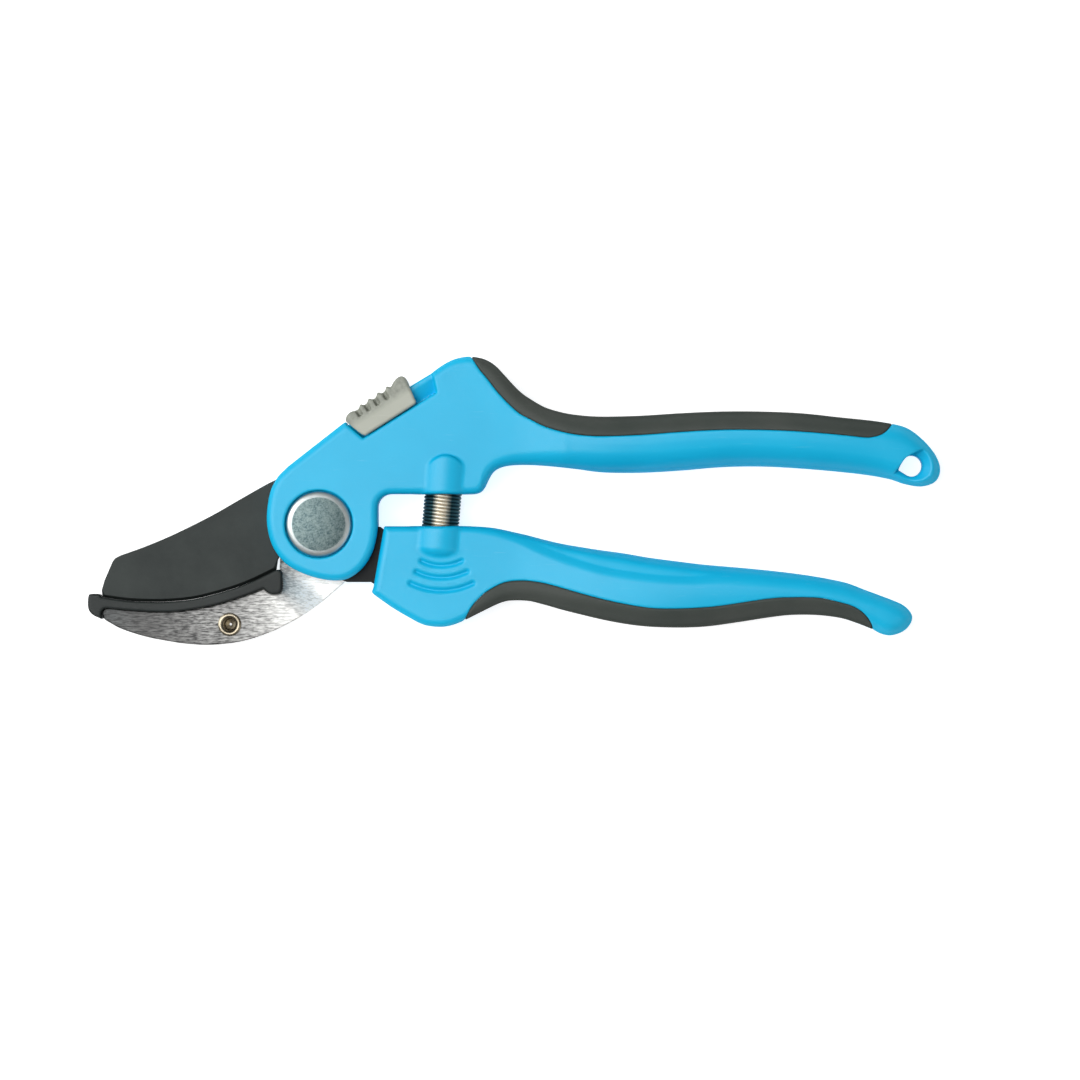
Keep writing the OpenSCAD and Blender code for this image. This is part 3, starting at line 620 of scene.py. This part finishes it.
lower_handle = mould("lower_handle_nylon", lower_nylon, (11, -28.2, -0.4), (143.6, 1.2, 17.4), 0.33)
lower_handle.data.materials.append(blue_nylon)
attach(lower_handle, "lever")
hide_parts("lower_handle")


# ---- Lower grip ----
# The matching rubber grip under the lower handle, where the fingers pull.


def lower_rubber(x, y, z):
    return both(lower_moulding(x, y, z), lower_grip_template(x, y) + 0.01, 0.35)


lower_grip = mould("lower_grip_rubber", lower_rubber, (32, -28.2, -0.4), (135, -12, 17.4), 0.36)
lower_grip.data.materials.append(grip_rubber)
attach(lower_grip, "lever")
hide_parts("lower_grip")


# ---- Lock slide ----
# A warm grey acetal saddle that straddles the upper edge of the head. Four ridges across its top give the
# thumb a hold, and it slides back along the head to free the blade.
slide_side = np.vstack([
    bend([(0.5, 0.0), (7.0, 0.05), (14.3, 0.1)], 3),
    arc((14.3, 0.9), 0.8, -90, 0, 5),
    bend([
        (15.2, 1.6), (15.6, 4.4), (15.9, 6.2), (15.7, 7.1), (15.1, 7.6), (14.2, 7.7), (13.2, 7.4),
        (12.2, 6.9),
    ], 5),
    bend([
        (11.9, 6.75), (11.6, 6.8), (11.15, 7.2), (10.75, 7.2), (10.3, 6.8), (9.7, 6.55), (9.1, 6.65),
        (8.65, 7.1),
        (8.2, 7.1), (7.7, 6.7), (7.1, 6.45), (6.5, 6.55), (6.05, 7.0), (5.6, 7.0), (5.1, 6.6), (4.5, 6.4),
        (4.0, 6.5), (3.6, 6.9), (3.2, 6.9), (2.7, 6.5), (2.1, 6.35), (1.4, 6.45), (0.8, 6.65),
    ], 3),
    bend([(0.2, 6.7), (-0.7, 6.45), (-1.4, 5.9), (-1.65, 5.3), (-1.2, 3.8), (-0.5, 1.7), (0.0, 0.5)], 5),
])
slide_template = template(slide_side, 0.06, 3)


def slide_acetal(x, y, z):
    lift = np.abs(z - middle)
    u, v = along_slide(x, y)
    cheek = both(slide_template(u, v), lift - 7.05, 0.8)
    for groove in (9.65, 7.05, 4.5, 2.1):
        across = np.abs(u - groove)
        cut = both(across - 0.55, both(4.5 - v + 0.3 * across, 5.5 - lift + across * 0.5, 0.2), 0.2)
        cheek = both(cheek, -cut, 0.4)
    # below the face of the head its front stands back, which leaves it room to go forward and lock
    body = both(cheek, joined(6.3 - lift, 0.85 - 0.3 * v - u))
    inside = both(lift - 4.42, joined(v - 4.5, u + 0.6))
    body = both(body, -inside, 0.15)
    leg = both(both(np.abs(u - 6.0) - 2.1, lift - 1.4), np.abs(v - 3.4) - 2.1)
    return joined(body, leg)


slide_grey = plastic(
    "slide_grey", rgb(170, 173, 161), rgb(180, 183, 171), rgb(205, 205, 197), 0.22, 0.03, 0.45, 0.3)
# the upper band of the slide, where the serrations run, is darker in a noisy mottle
tree = slide_grey.node_tree
face_colour = tree.nodes["Principled BSDF"].inputs["Base Color"]
clean = face_colour.links[0].from_socket
where = node(tree, "ShaderNodeTexCoord").outputs["Object"]
upwards = np.array([-slide_direction[1], slide_direction[0], 0.0])
height = node(tree, "ShaderNodeVectorMath", {0: where, 1: tuple(upwards)}, operation="DOT_PRODUCT")
foot = float(pivot_on_table @ upwards) + 0.001 * slide_corner[1]
# darker from 3 to 5 mm above the slide's lower edge upwards, broken up by noise
upper_band_mask = spread(tree, height.outputs["Value"], foot + 0.003, foot + 0.005, 0.0, 1.275)
upper_band_darkening = maths(tree, "MULTIPLY", upper_band_mask, noise(tree, where, 900.0, 3.0, 0.6))
tree.links.new(tinted(tree, upper_band_darkening, clean, rgb(122, 126, 117)), face_colour)
lock_slide = mould("lock_slide_acetal", slide_acetal, (5.0, 19.4, 1.0), (25.4, 37.2, 16.1), 0.2)
lock_slide.data.materials.append(slide_grey)
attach(lock_slide, "lock")
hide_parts("lock_button")


# ---- Blade ----
# Laser-cut steel with a dark non-stick coating, ground from both sides to a straight-wedged cutting edge.
# Its round hub turns between the cheeks, and its tang runs far into the lower handle.


def inset(outline, width):
    """The outline moved inwards by a width, one for all points or one for each; it runs anticlockwise."""
    p = np.asarray(outline, float)
    before, after = p - np.roll(p, 1, axis=0), np.roll(p, -1, axis=0) - p
    before /= np.linalg.norm(before, axis=1)[:, None]
    after /= np.linalg.norm(after, axis=1)[:, None]
    normal = np.stack([-(before + after)[:, 1], (before + after)[:, 0]], axis=1)
    normal /= np.maximum(np.linalg.norm(normal, axis=1), 1e-6)[:, None]
    spread = np.maximum((normal * np.stack([-after[:, 1], after[:, 0]], axis=1)).sum(axis=1), 0.5)
    return p + normal * (np.asarray(width) / spread)[..., None]


def tidy(outline, gap=0.03):
    """The outline without points that lie on each other, anticlockwise."""
    p = np.asarray(outline, float)
    p = p[np.linalg.norm(p - np.roll(p, 1, axis=0), axis=1) > gap]
    turn = (p[:, 0] * np.roll(p[:, 1], -1) - p[:, 1] * np.roll(p[:, 0], -1)).sum()
    return p if turn > 0 else p[::-1]


def raised(outline, z):
    p = np.asarray(outline, float)
    return np.column_stack([p, np.broadcast_to(z, len(p))])


def cut_sheet(name, rings, holes=(), angle=25):
    """A piece cut from sheet. rings are its edge from the lower face to the upper one; so is each hole."""
    points, faces = [], []
    offset = 0
    for path, outer in [(rings, True)] + [(hole, False) for hole in holes]:
        n = len(path[0])
        points.extend(path)
        for level in range(len(path) - 1):
            a, b = offset + level * n, offset + (level + 1) * n
            for k in range(n):
                quad = (a + k, a + (k + 1) % n, b + (k + 1) % n, b + k)
                faces.append(quad if outer else quad[::-1])
        offset += n * len(path)
    for top in (False, True):
        flat, numbers, loops = [], [], []
        offset = 0
        for path in [rings] + list(holes):
            n = len(path[0])
            start = offset + (n * (len(path) - 1) if top else 0)
            loops.append([len(flat) + k for k in range(n)])
            flat.extend(Vector(p[:2]) for p in path[-1 if top else 0])
            numbers.extend(range(start, start + n))
            offset += n * len(path)
        edges = [(a, b) for loop in loops for a, b in zip(loop, loop[1:] + loop[:1])]
        made = delaunay_2d_cdt(flat, edges, [], 0, 1e-6)
        outline = np.array([v[:] for v in flat])[loops[0]]
        inner = [np.array([v[:] for v in flat])[loop] for loop in loops[1:]]
        for tri in made[2]:
            spot = sum((np.array(made[0][k][:]) for k in tri), np.zeros(2)) / 3
            if within(spot, outline) and not any(within(spot, hole) for hole in inner):
                ids = [numbers[made[3][k][0]] for k in tri]
                faces.append(tuple(ids if top else ids[::-1]))
    return piece(name, np.vstack(points), faces, angle)


def within(spot, outline):
    a, b = outline, np.roll(outline, -1, axis=0)
    side = (a[:, 1] > spot[1]) != (b[:, 1] > spot[1])
    rise = np.where(side, b[:, 1] - a[:, 1], 1)
    return bool((side & (spot[0] < a[:, 0] + (spot[1] - a[:, 1]) * (b[:, 0] - a[:, 0]) / rise)).sum() % 2)


def drilled(centre, radius, z0, z1, edge, steps=64):
    """The rings of a round hole with a small chamfer at each end."""
    levels = [(radius + edge, z0), (radius, z0 + edge), (radius, z1 - edge), (radius + edge, z1)]
    return [raised(arc(centre, r, 0, 360 - 360 / steps, steps - 1), z) for r, z in levels]


blade_z = (7.0, 10.0)
cutting_edge = bend([
    (-52.1, -17.5), (-48.0, -18.1), (-44.0, -18.5), (-37.3, -18.6), (-30.5, -18.0), (-23.8, -16.4),
    (-17.0, -14.1), (-10.3, -10.9),
], 6)
hub_rim = np.vstack([
    arc((0, 0), 9.4, -1.5, 40.5, 12), arc((0, 0), 11, 40.5, 48, 4),
    arc((0, 0), 9.4, 48, 76, 8), arc((0, 0), 11, 76, 94, 6),
])
blade_outline = tidy(np.vstack([
    bend([
        (-0.8, 10.97), (-4.5, 11.15), (-8.2, 11.15), (-11.4, 10.2), (-19.1, 5.9), (-24.8, 2.6), (-30.6, -0.4),
        (-36.3, -3.1), (-42.1, -5.5), (-47.4, -7.4),
    ], 6),
    [(-48.3, -7.8), (-49.0, -8.2), (-49.6, -9.0), (-51.5, -13.4), (-52.2, -15.8)],
    cutting_edge,
    [(-10.0, -8.6)],
    arc((0, 0), 11, 216, 268, 10),
    [(6.6, -13.9), (12.4, -13.9)],
    bend([
        (13.5, -14.6), (19, -17), (26, -18.4), (34, -16.8), (42, -13.4), (50, -11.9), (60, -13.2), (70, -15.5),
        (82, -16.4),
    ], 4),
    bend([
        (84, -14.8), (82, -13), (70, -10.8), (60, -8.8), (50, -7.2), (40, -9.3), (34, -11), (24, -10.7),
        (21.6, -9.4),
    ], 4),
    [(19.5, -4.5), (14.6, -0.6), (9.4, -0.6)],
    hub_rim,
]))
on_edge = np.array([np.min(np.linalg.norm(cutting_edge - q, axis=1)) < 0.02 for q in blade_outline])
chamfer = 0.22
bevel = np.where(on_edge, 0.7, chamfer)
wedge = np.where(on_edge, 1.38, chamfer)
blade = cut_sheet("coated_blade", [
    raised(inset(blade_outline, bevel), blade_z[0]),
    raised(blade_outline, blade_z[0] + wedge),
    raised(blade_outline, blade_z[1] - wedge),
    raised(inset(blade_outline, bevel), blade_z[1]),
], [drilled((0, 0), 5.5, *blade_z, 0.2)])

# the coating: a cloudy skin with a fine orange peel, and painted shade that turns it near black on the tang
# right of the pivot, deep between the handles
blade_coating, tree, shader = finish("blade_coating")
where = node(tree, "ShaderNodeTexCoord").outputs["Object"]
peel = noise(tree, where, 2300.0, 3.0, 0.6)
cloud = spread(tree, noise(tree, where, 90.0, 4.0, 0.55), 0.3, 0.7)
coat = tinted(tree, cloud, rgb(36, 42, 41), rgb(50, 56, 54))
along_x = node(tree, "ShaderNodeSeparateXYZ", {"Vector": where}).outputs[0]
# painted shade: the coating goes near black from 4 to 9 mm right of the pivot onwards, on the tang
shaded_tang_mask = spread(tree, along_x, pivot_on_table[0] + 0.004, pivot_on_table[0] + 0.009)
painted_tang_shade = tinted(tree, shaded_tang_mask, coat, rgb(14, 15, 15))
dress(tree, shader, painted_tang_shade, spread(tree, peel, 0.0, 1.0, 0.42, 0.62), peel, 0.3, 0.03)
shader.inputs["Specular IOR Level"].default_value = 0.22
blade.data.materials.append(blade_coating)
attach(blade, "lever")
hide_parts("blade")


# ---- Anvil plate ----
# Bare steel plate, brushed along its length. Its jaw end is pressed up into the plane of the blade, and its
# tang is held inside the upper handle.
plate_z = (3.6, 6.6)
# the step runs across this direction, between these distances from the pivot, and is this high
joggle_way, joggle_from, joggle_to, joggle_mm = 225.0, 11.2, 19.8, 3.4
heel_hook = bend([(-13.3, -15.4), (-12.2, -16.4), (-10.8, -16.8), (-9.4, -16.4), (-8.9, -15.3)], 6)
anvil_seat = bend([
    (-51, -20.1), (-44, -20.7), (-38, -21), (-32.5, -20.7), (-24.8, -19.3), (-17.1, -16.9), (-13.3, -15.4),
], 8)
plate_outline = tidy(np.vstack([
    heel_hook,
    [(-9.25, -12.6), (-9.65, -10.6), (-9.6, -8.7)],
    arc((0, 0), 12, 218, 104, 30),
    bend([(-2, 12), (10, 19.3), (20, 24.3), (30, 26.6), (40, 24.6), (50, 22.3), (70, 20.2), (95, 20.8)], 4),
    bend([(97.5, 18.8), (95, 16.8), (70, 15.6), (50, 17), (40, 18), (30, 18.6), (23, 18.4), (14.5, 10.5)], 4),
    arc((0, 0), 12.4, 36, -42, 24),
    bend([
        (7.4, -12.6), (4, -15.7), (0.7, -18.5), (-4.0, -21.9), (-9.5, -24.9), (-13.3, -26.5), (-17.1, -27.7),
        (-21, -28.5), (-26.8, -28.95), (-32.5, -28.6), (-36.3, -28.0), (-40.2, -27.3), (-44.0, -26.3),
        (-47.9, -24.9), (-51.0, -23.2),
    ], 8),
    bend([(-51.5, -22.8), (-52.05, -21.9), (-52.0, -20.8), (-51.5, -20.3)], 4),
    anvil_seat,
]))
shank_hole = []
for z, grow in ((plate_z[0], 0.15), (plate_z[0] + 0.15, 0), (plate_z[1] - 0.15, 0), (plate_z[1], 0.15)):
    a = np.radians(np.arange(0, 360, 5))
    side = np.clip(4.05 * np.sin(a), -3.45, 3.45)
    shank_hole.append(raised(np.stack([4.05 * np.cos(a), side], axis=1) * (1 + grow / 4), z))
pin_spot = arc((0, 0), 10.8, 7, 7, 1)[0]
rivet_spot = np.array([-21.5, -24.05])
rivet_hole_r = 2.15
plate_chamfer = 0.3
anvil_plate = cut_sheet("brushed_anvil_plate", [
    raised(inset(plate_outline, plate_chamfer), plate_z[0]),
    raised(plate_outline, plate_z[0] + plate_chamfer),
    raised(plate_outline, plate_z[1] - plate_chamfer),
    raised(inset(plate_outline, plate_chamfer), plate_z[1]),
], [
    shank_hole,
    drilled(pin_spot, 1.26, *plate_z, 0.04, 24),
    drilled(rivet_spot, rivet_hole_r, *plate_z, 0.15, 48),
])

# press the step into it: cut the flat sheet across the bend in a few lines, then lift what lies beyond
work = bmesh.new()
work.from_mesh(anvil_plate.data)
across = arc((0, 0), 1.0, joggle_way, joggle_way, 1)[0]
for out in np.linspace(joggle_from, joggle_to, 9):
    sheet = work.verts[:] + work.edges[:] + work.faces[:]
    spot = place([*(out * across), 0.0])
    bmesh.ops.bisect_plane(work, geom=sheet, plane_co=spot, plane_no=(*across, 0), dist=1e-7)
for corner in work.verts:
    out = float(np.dot((np.array(corner.co) - pivot_on_table)[:2] * 1000, across))
    t = min(max((out - joggle_from) / (joggle_to - joggle_from), 0), 1)
    corner.co.z += 0.001 * joggle_mm * t * t * (3 - 2 * t)
bmesh.ops.triangulate(work, faces=work.faces[:])
work.to_mesh(anvil_plate.data)
work.free()
smooth_shade(anvil_plate.data, 25)

# ground steel: short streaks along the plate, in the relief and the gloss too, and a slow mottle
brushed, brush_in, brush_out = group_of(
    "brushed",
    [("Stretch", "NodeSocketFloat", 6.0), ("Fineness", "NodeSocketFloat", 1600.0)],
    [("Streaks", "NodeSocketFloat"), ("Patches", "NodeSocketFloat")],
)
tree = brushed
where = node(tree, "ShaderNodeTexCoord").outputs["Object"]
fine = brush_in.outputs["Fineness"]
coarse = maths(tree, "DIVIDE", fine, brush_in.outputs["Stretch"])
squeeze = node(tree, "ShaderNodeCombineXYZ", {0: coarse, 1: fine, 2: fine}).outputs[0]
drawn = node(tree, "ShaderNodeVectorMath", {0: where, 1: squeeze}, operation="MULTIPLY").outputs[0]
tree.links.new(noise(tree, drawn, 1.0, 3.0, 0.6), brush_out.inputs["Streaks"])
tree.links.new(noise(tree, where, 150.0, 4.0, 0.6), brush_out.inputs["Patches"])

# painted reflection: the steel is painted dark towards the jaw tip and near white at the heel, with calmer
# streaks at the heel
plate_steel, tree, shader = finish("plate_steel")
grind = node(tree, "ShaderNodeGroup", {"Stretch": 5.0, "Fineness": 2500.0}, node_tree=brushed)
where = node(tree, "ShaderNodeTexCoord").outputs["Object"]
along_x = node(tree, "ShaderNodeSeparateXYZ", {"Vector": where}).outputs[0]
heelwards = spread(tree, along_x, pivot_on_table[0] - 0.052, pivot_on_table[0] - 0.002)
# painted reflection: a ramp from near black at the jaw tip to near white at the heel
wear_and_painted_reflection = node(tree, "ShaderNodeValToRGB", {0: heelwards})
stops = wear_and_painted_reflection.color_ramp.elements
stops[0].position, stops[0].color = 0.05, (0.032, 0.035, 0.035, 1.0)
stops[1].position, stops[1].color = 0.98, (0.92, 0.91, 0.88, 1.0)
for spot, level in ((0.2, 0.05), (0.4, 0.1), (0.62, 0.17), (0.78, 0.32), (0.86, 0.6)):
    stop = stops.new(spot)
    stop.color = (level, level, level * 0.97, 1.0)
streak = spread(tree, grind.outputs["Streaks"], 0.38, 0.64, 0.1, 2.6)
streak = maths(tree, "MULTIPLY", streak, spread(tree, grind.outputs["Patches"], 0.35, 0.65, 0.8, 1.2))
calm = spread(tree, heelwards, 0.55, 0.95, 0.0, 0.8)
streak = node(tree, "ShaderNodeMix", {0: calm, 2: streak, 3: 1.0}).outputs[0]
steel = node(tree, "ShaderNodeVectorMath", {0: wear_and_painted_reflection.outputs[0], 1: streak}, operation="MULTIPLY").outputs[0]
gloss = spread(tree, grind.outputs["Streaks"], 0.0, 1.0, 0.3, 0.55)
dress(tree, shader, steel, gloss, grind.outputs["Streaks"], 0.4, 0.04, 0.25)
anvil_plate.data.materials.append(plate_steel)
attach(anvil_plate, "upper")
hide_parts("anvil_plate")


# ---- Anvil insert ----
# The black nylon bar that the blade closes on. It hooks around the plate at the tip and at the heel, and a
# tab behind the plate is held by the rivet.
insert_outline = np.vstack([
    cutting_edge - (0, 0.05),
    [(-9.5, -10.9), (-8.9, -11.6)],
    heel_hook[::-1], anvil_seat[::-1],
    bend([
        (-51.5, -20.2), (-52.1, -20.9), (-52.2, -21.9), (-52.0, -22.7), (-52.9, -22.35), (-53.9, -21.9),
        (-54.9, -21.0), (-55.3, -19.9), (-55.35, -18.4), (-55.2, -17.2), (-54.8, -16.75), (-53.4, -16.75),
        (-52.6, -16.85),
    ], 5),
])
insert_template = template(tidy(insert_outline), 0.08, 3)
tab_template = template(np.vstack([[(-27, -18.9), (-15, -15.8)], arc(rivet_spot, 3.8, 0, -180, 24)]), 0.1, 3)


def insert_nylon(x, y, z):
    lift = z - middle
    bar = both(insert_template(x, y), np.abs(lift) - 4.0, 0.55)
    tab = both(tab_template(x, y), np.abs(z - 5.75) - 1.22, 0.3)
    bar = joined(bar, tab, 0.1)
    return both(bar, -(np.hypot(x - rivet_spot[0], y - rivet_spot[1]) - rivet_hole_r))


black_nylon = plastic(
    "black_nylon", rgb(30, 35, 34), rgb(40, 45, 44), rgb(74, 78, 76), 0.24, 0.03, 0.5, 0.25, 0.25)
anvil_insert = mould("anvil_insert_nylon", insert_nylon, (-56.2, -29, 4.0), (-8.2, -10.0, 13.0), 0.2)
anvil_insert.data.materials.append(black_nylon)
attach(anvil_insert, "upper")
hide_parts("anvil_insert")


# ---- Tubular rivet ----
# A brass rivet through plate and tab. Its front end is rolled over into a ring around the open bore, and only
# a pinhole goes on through its back end.


def turned(name, outline, centre=(0, 0), steps=96, angle=30):
    """A piece turned on a lathe: the outline gives (radius, z) from the bottom centre outwards and up."""
    a = np.linspace(0, 2 * np.pi, steps, endpoint=False)
    points, rows = [], []
    for r, z in outline:
        if r < 1e-6:
            rows.append([len(points)])
            points.append((centre[0], centre[1], z))
        else:
            rows.append(list(range(len(points), len(points) + steps)))
            points.extend(zip(centre[0] + r * np.cos(a), centre[1] + r * np.sin(a), np.full(steps, z)))
    faces = []
    for low, high in zip(rows, rows[1:] + ([rows[0]] if len(rows[0]) > 1 and len(rows[-1]) > 1 else [])):
        for k in range(steps):
            m = (k + 1) % steps
            if len(low) == 1 and len(high) > 1:
                faces.append((low[0], high[m], high[k]))
            elif len(high) == 1 and len(low) > 1:
                faces.append((low[k], low[m], high[0]))
            elif len(high) > 1:
                faces.append((low[k], low[m], high[m], high[k]))
    return piece(name, points, faces, angle)


rivet = turned("tubular_rivet", [
    (0.3, 4.0), (2.6, 4.0), (2.78, 4.15), (2.78, 4.4), (2.1, 4.5), (2.1, 10.0), (2.72, 10.02), (2.8, 10.14),
    (2.74, 10.3), (2.5, 10.42), (2.25, 10.47), (2.0, 10.44), (1.8, 10.3), (1.66, 10.05), (1.55, 9.6),
    (1.5, 9.0),
    (1.48, 6.2), (1.2, 5.6), (0.3, 5.3),
], rivet_spot, 64)
rivet_brass, tree, shader = finish("rivet_brass")
tarnish = noise(tree, node(tree, "ShaderNodeTexCoord").outputs["Object"], 700.0, 4.0, 0.6)
brass = tinted(tree, tarnish, rgb(112, 102, 84), rgb(172, 164, 146))
dress(tree, shader, brass, spread(tree, tarnish, 0.0, 1.0, 0.2, 0.45), tarnish, 0.3, 0.03, 1.0)
rivet.data.materials.append(rivet_brass)
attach(rivet, "upper")
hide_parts("anvil_rivet")


# ---- Pivot bolt, nut and washers ----
# A zinc-plated bolt whose wide flat head sits in a recess, with a painted highlight on its rounded rim around a
# mottled face.
# The nut is sunk in the back, on a flat washer and a spring washer, and thin steel washers space the blade.
head_top, head_seat = 14.9, 12.2
bolt_outline = [(0, 0.3), (2.5, 0.3), (2.95, 0.75)]
for z in np.arange(0.9, 3.4, 0.5):
    bolt_outline += [(2.95, z), (2.95, z + 0.1), (2.7, z + 0.25), (2.7, z + 0.3)]
bolt_outline += [(2.7, 3.55), (3.95, 3.6), (4.0, 6.7)]
bolt_outline += [(4.0, head_seat), (7.5, head_seat), (7.7, head_seat + 0.2)]
for r, drop in [
    (7.7, 0.75), (7.67, 0.58), (7.57, 0.42), (7.38, 0.29), (7.14, 0.19), (6.88, 0.1), (6.65, 0.04), (6.45, 0),
]:
    bolt_outline.append((r, head_top - drop))
bolt_outline.append((0, head_top))
bolt = turned("zinc_bolt", bolt_outline, steps=128, angle=24)
zinc_plate, tree, shader = finish("zinc_plate")
where = node(tree, "ShaderNodeTexCoord").outputs["Object"]
grainy = noise(tree, where, 900.0, 4.0, 0.65)
crystals = maths(tree, "ADD", grainy, noise(tree, where, 2600.0, 2.0, 0.5))
off = node(tree, "ShaderNodeVectorMath", {0: where, 1: tuple(pivot_on_table)}, operation="SUBTRACT")
off = node(tree, "ShaderNodeVectorMath", {0: off.outputs[0], 1: (1.0, 1.0, 0.0)}, operation="MULTIPLY")
off = node(tree, "ShaderNodeVectorMath", {0: off.outputs[0]}, operation="LENGTH").outputs["Value"]
face = tinted(tree, spread(tree, crystals, 0.78, 1.22), rgb(56, 72, 75), rgb(100, 114, 113))
# painted highlight: the rounded rim of the head, past 6.3 mm from the pivot, is painted pale
face_and_painted_rim = tinted(tree, spread(tree, off, 0.0063, 0.0068), face, rgb(198, 205, 205))
dress(tree, shader, face_and_painted_rim, spread(tree, grainy, 0.0, 1.0, 0.28, 0.5), crystals, 0.35, 0.05, 0.9)
bolt.data.materials.append(zinc_plate)
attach(bolt, "upper")
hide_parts("pivot_bolt")

# a hexagon 10 mm across, with its corners turned off at both faces
nut_z, washer_face_r = (0.0, 2.6), 5.15
turn = np.linspace(0, 2 * np.pi, 96, endpoint=False)
way = np.stack([np.cos(turn), np.sin(turn)], axis=1)
hexagon = 5.0 / np.cos((turn + np.pi / 6) % (np.pi / 3) - np.pi / 6)
corner_cut = np.maximum(hexagon - washer_face_r, 0) * math.tan(math.radians(30)) + 0.02
washer_face = np.minimum(hexagon, washer_face_r)[:, None] * way
nut = cut_sheet("zinc_nut", [
    raised(washer_face, nut_z[0]),
    raised(hexagon[:, None] * way, nut_z[0] + corner_cut),
    raised(hexagon[:, None] * way, nut_z[1] - corner_cut),
    raised(washer_face, nut_z[1]),
], [drilled((0, 0), 3.0, *nut_z, 0.3, 96)])
nut.data.materials.append(zinc_plate)
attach(nut, "upper")
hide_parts("pivot_nut")

inner_steel, tree, shader = finish("inner_steel")
grind = node(tree, "ShaderNodeGroup", {"Stretch": 4.0, "Fineness": 2200.0}, node_tree=brushed)
grey = tinted(tree, grind.outputs["Streaks"], rgb(150, 152, 154), rgb(214, 214, 212))
gloss = spread(tree, grind.outputs["Patches"], 0.0, 1.0, 0.25, 0.5)
dress(tree, shader, grey, gloss, grind.outputs["Streaks"], 0.3, 0.02, 1.0)


def refinish(name, material):
    """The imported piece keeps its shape, and gets a better finish."""
    frame["nodes"][name].data.materials.clear()
    frame["nodes"][name].data.materials.append(material)


refinish("nut_washer", zinc_plate)
refinish("pivot_bush", rivet_brass)
for name in ("stop_pin", "front_washer", "back_washer", "lock_plate"):
    refinish(name, inner_steel)


# ---- Spring ----
# A close coil of hard-drawn wire between the handles. It stands in the two pockets and stretches its whole
# length as the handles open.
wire_r, coil_r, turns, coil_half = 0.405, 4.09, 27, 11.8
ring_count, ring_sides = turns * 28, 12
side_way = np.array([coil_axis[1], -coil_axis[0], 0.0])
up_way = np.array([0.0, 0.0, 1.0])
travel = 2 * coil_half - 2 * wire_r - 0.1
points, faces = [], []
for i, t in enumerate(np.linspace(0, 1, ring_count + 1)):
    a = 2 * np.pi * turns * t
    outward = math.cos(a) * side_way + math.sin(a) * up_way
    core = coil_centre + coil_r * outward + travel * (t - 0.5) * coil_axis
    for k in range(ring_sides):
        b = 2 * np.pi * k / ring_sides
        points.append(core + wire_r * (math.cos(b) * outward + math.sin(b) * coil_axis))
        this, beside = i * ring_sides + k, i * ring_sides + (k + 1) % ring_sides
        if i < ring_count:
            faces.append((this, beside, beside + ring_sides, this + ring_sides))
faces.append(tuple(range(ring_sides))[::-1])
faces.append(tuple(ring_count * ring_sides + k for k in range(ring_sides)))
spring = piece("coil_spring", points, faces, 60)
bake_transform(spring, "lever", "upper", place(coil_centre - coil_half * coil_axis), place(coil_centre + coil_half * coil_axis))
# every ring of the wire follows as one, so the wire keeps its thickness
follow = spring.data.attributes["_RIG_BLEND"]
shares = np.zeros(len(spring.data.vertices), np.float32)
follow.data.foreach_get("value", shares)
follow.data.foreach_set("value", np.repeat(shares.reshape(-1, ring_sides).mean(axis=1), ring_sides))

# drawn wire: a painted cream highlight down the middle of the coil, and painted dark teal shade and reflection
# down its flanks
spring_wire, tree, shader = finish("spring_wire")
grind = node(tree, "ShaderNodeGroup", {"Stretch": 3.0, "Fineness": 2500.0}, node_tree=brushed)
bright = tinted(tree, grind.outputs["Streaks"], rgb(226, 214, 192), rgb(246, 236, 218))
where = node(tree, "ShaderNodeTexCoord").outputs["Object"]
off = node(tree, "ShaderNodeVectorMath", {0: where, 1: tuple(place(coil_centre))}, operation="SUBTRACT")
off = node(tree, "ShaderNodeVectorMath", {0: off.outputs[0], 1: tuple(side_way)}, operation="DOT_PRODUCT")
# painted shade and reflection: the wire goes dark teal from 1 to 2.3 mm to the side of the coil's axis outwards
painted_flank_shade = spread(tree, maths(tree, "ABSOLUTE", off.outputs["Value"]), 0.001, 0.0023)
wire = tinted(tree, painted_flank_shade, bright, rgb(58, 92, 96))
gloss = spread(tree, grind.outputs["Patches"], 0.0, 1.0, 0.48, 0.56)
dress(tree, shader, wire, gloss, grind.outputs["Streaks"], 0.06, 0.01, 1.0)
spring.data.materials.append(spring_wire)
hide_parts("spring")
refinish("wave_washer", spring_wire)
refinish("detent_spring", spring_wire)
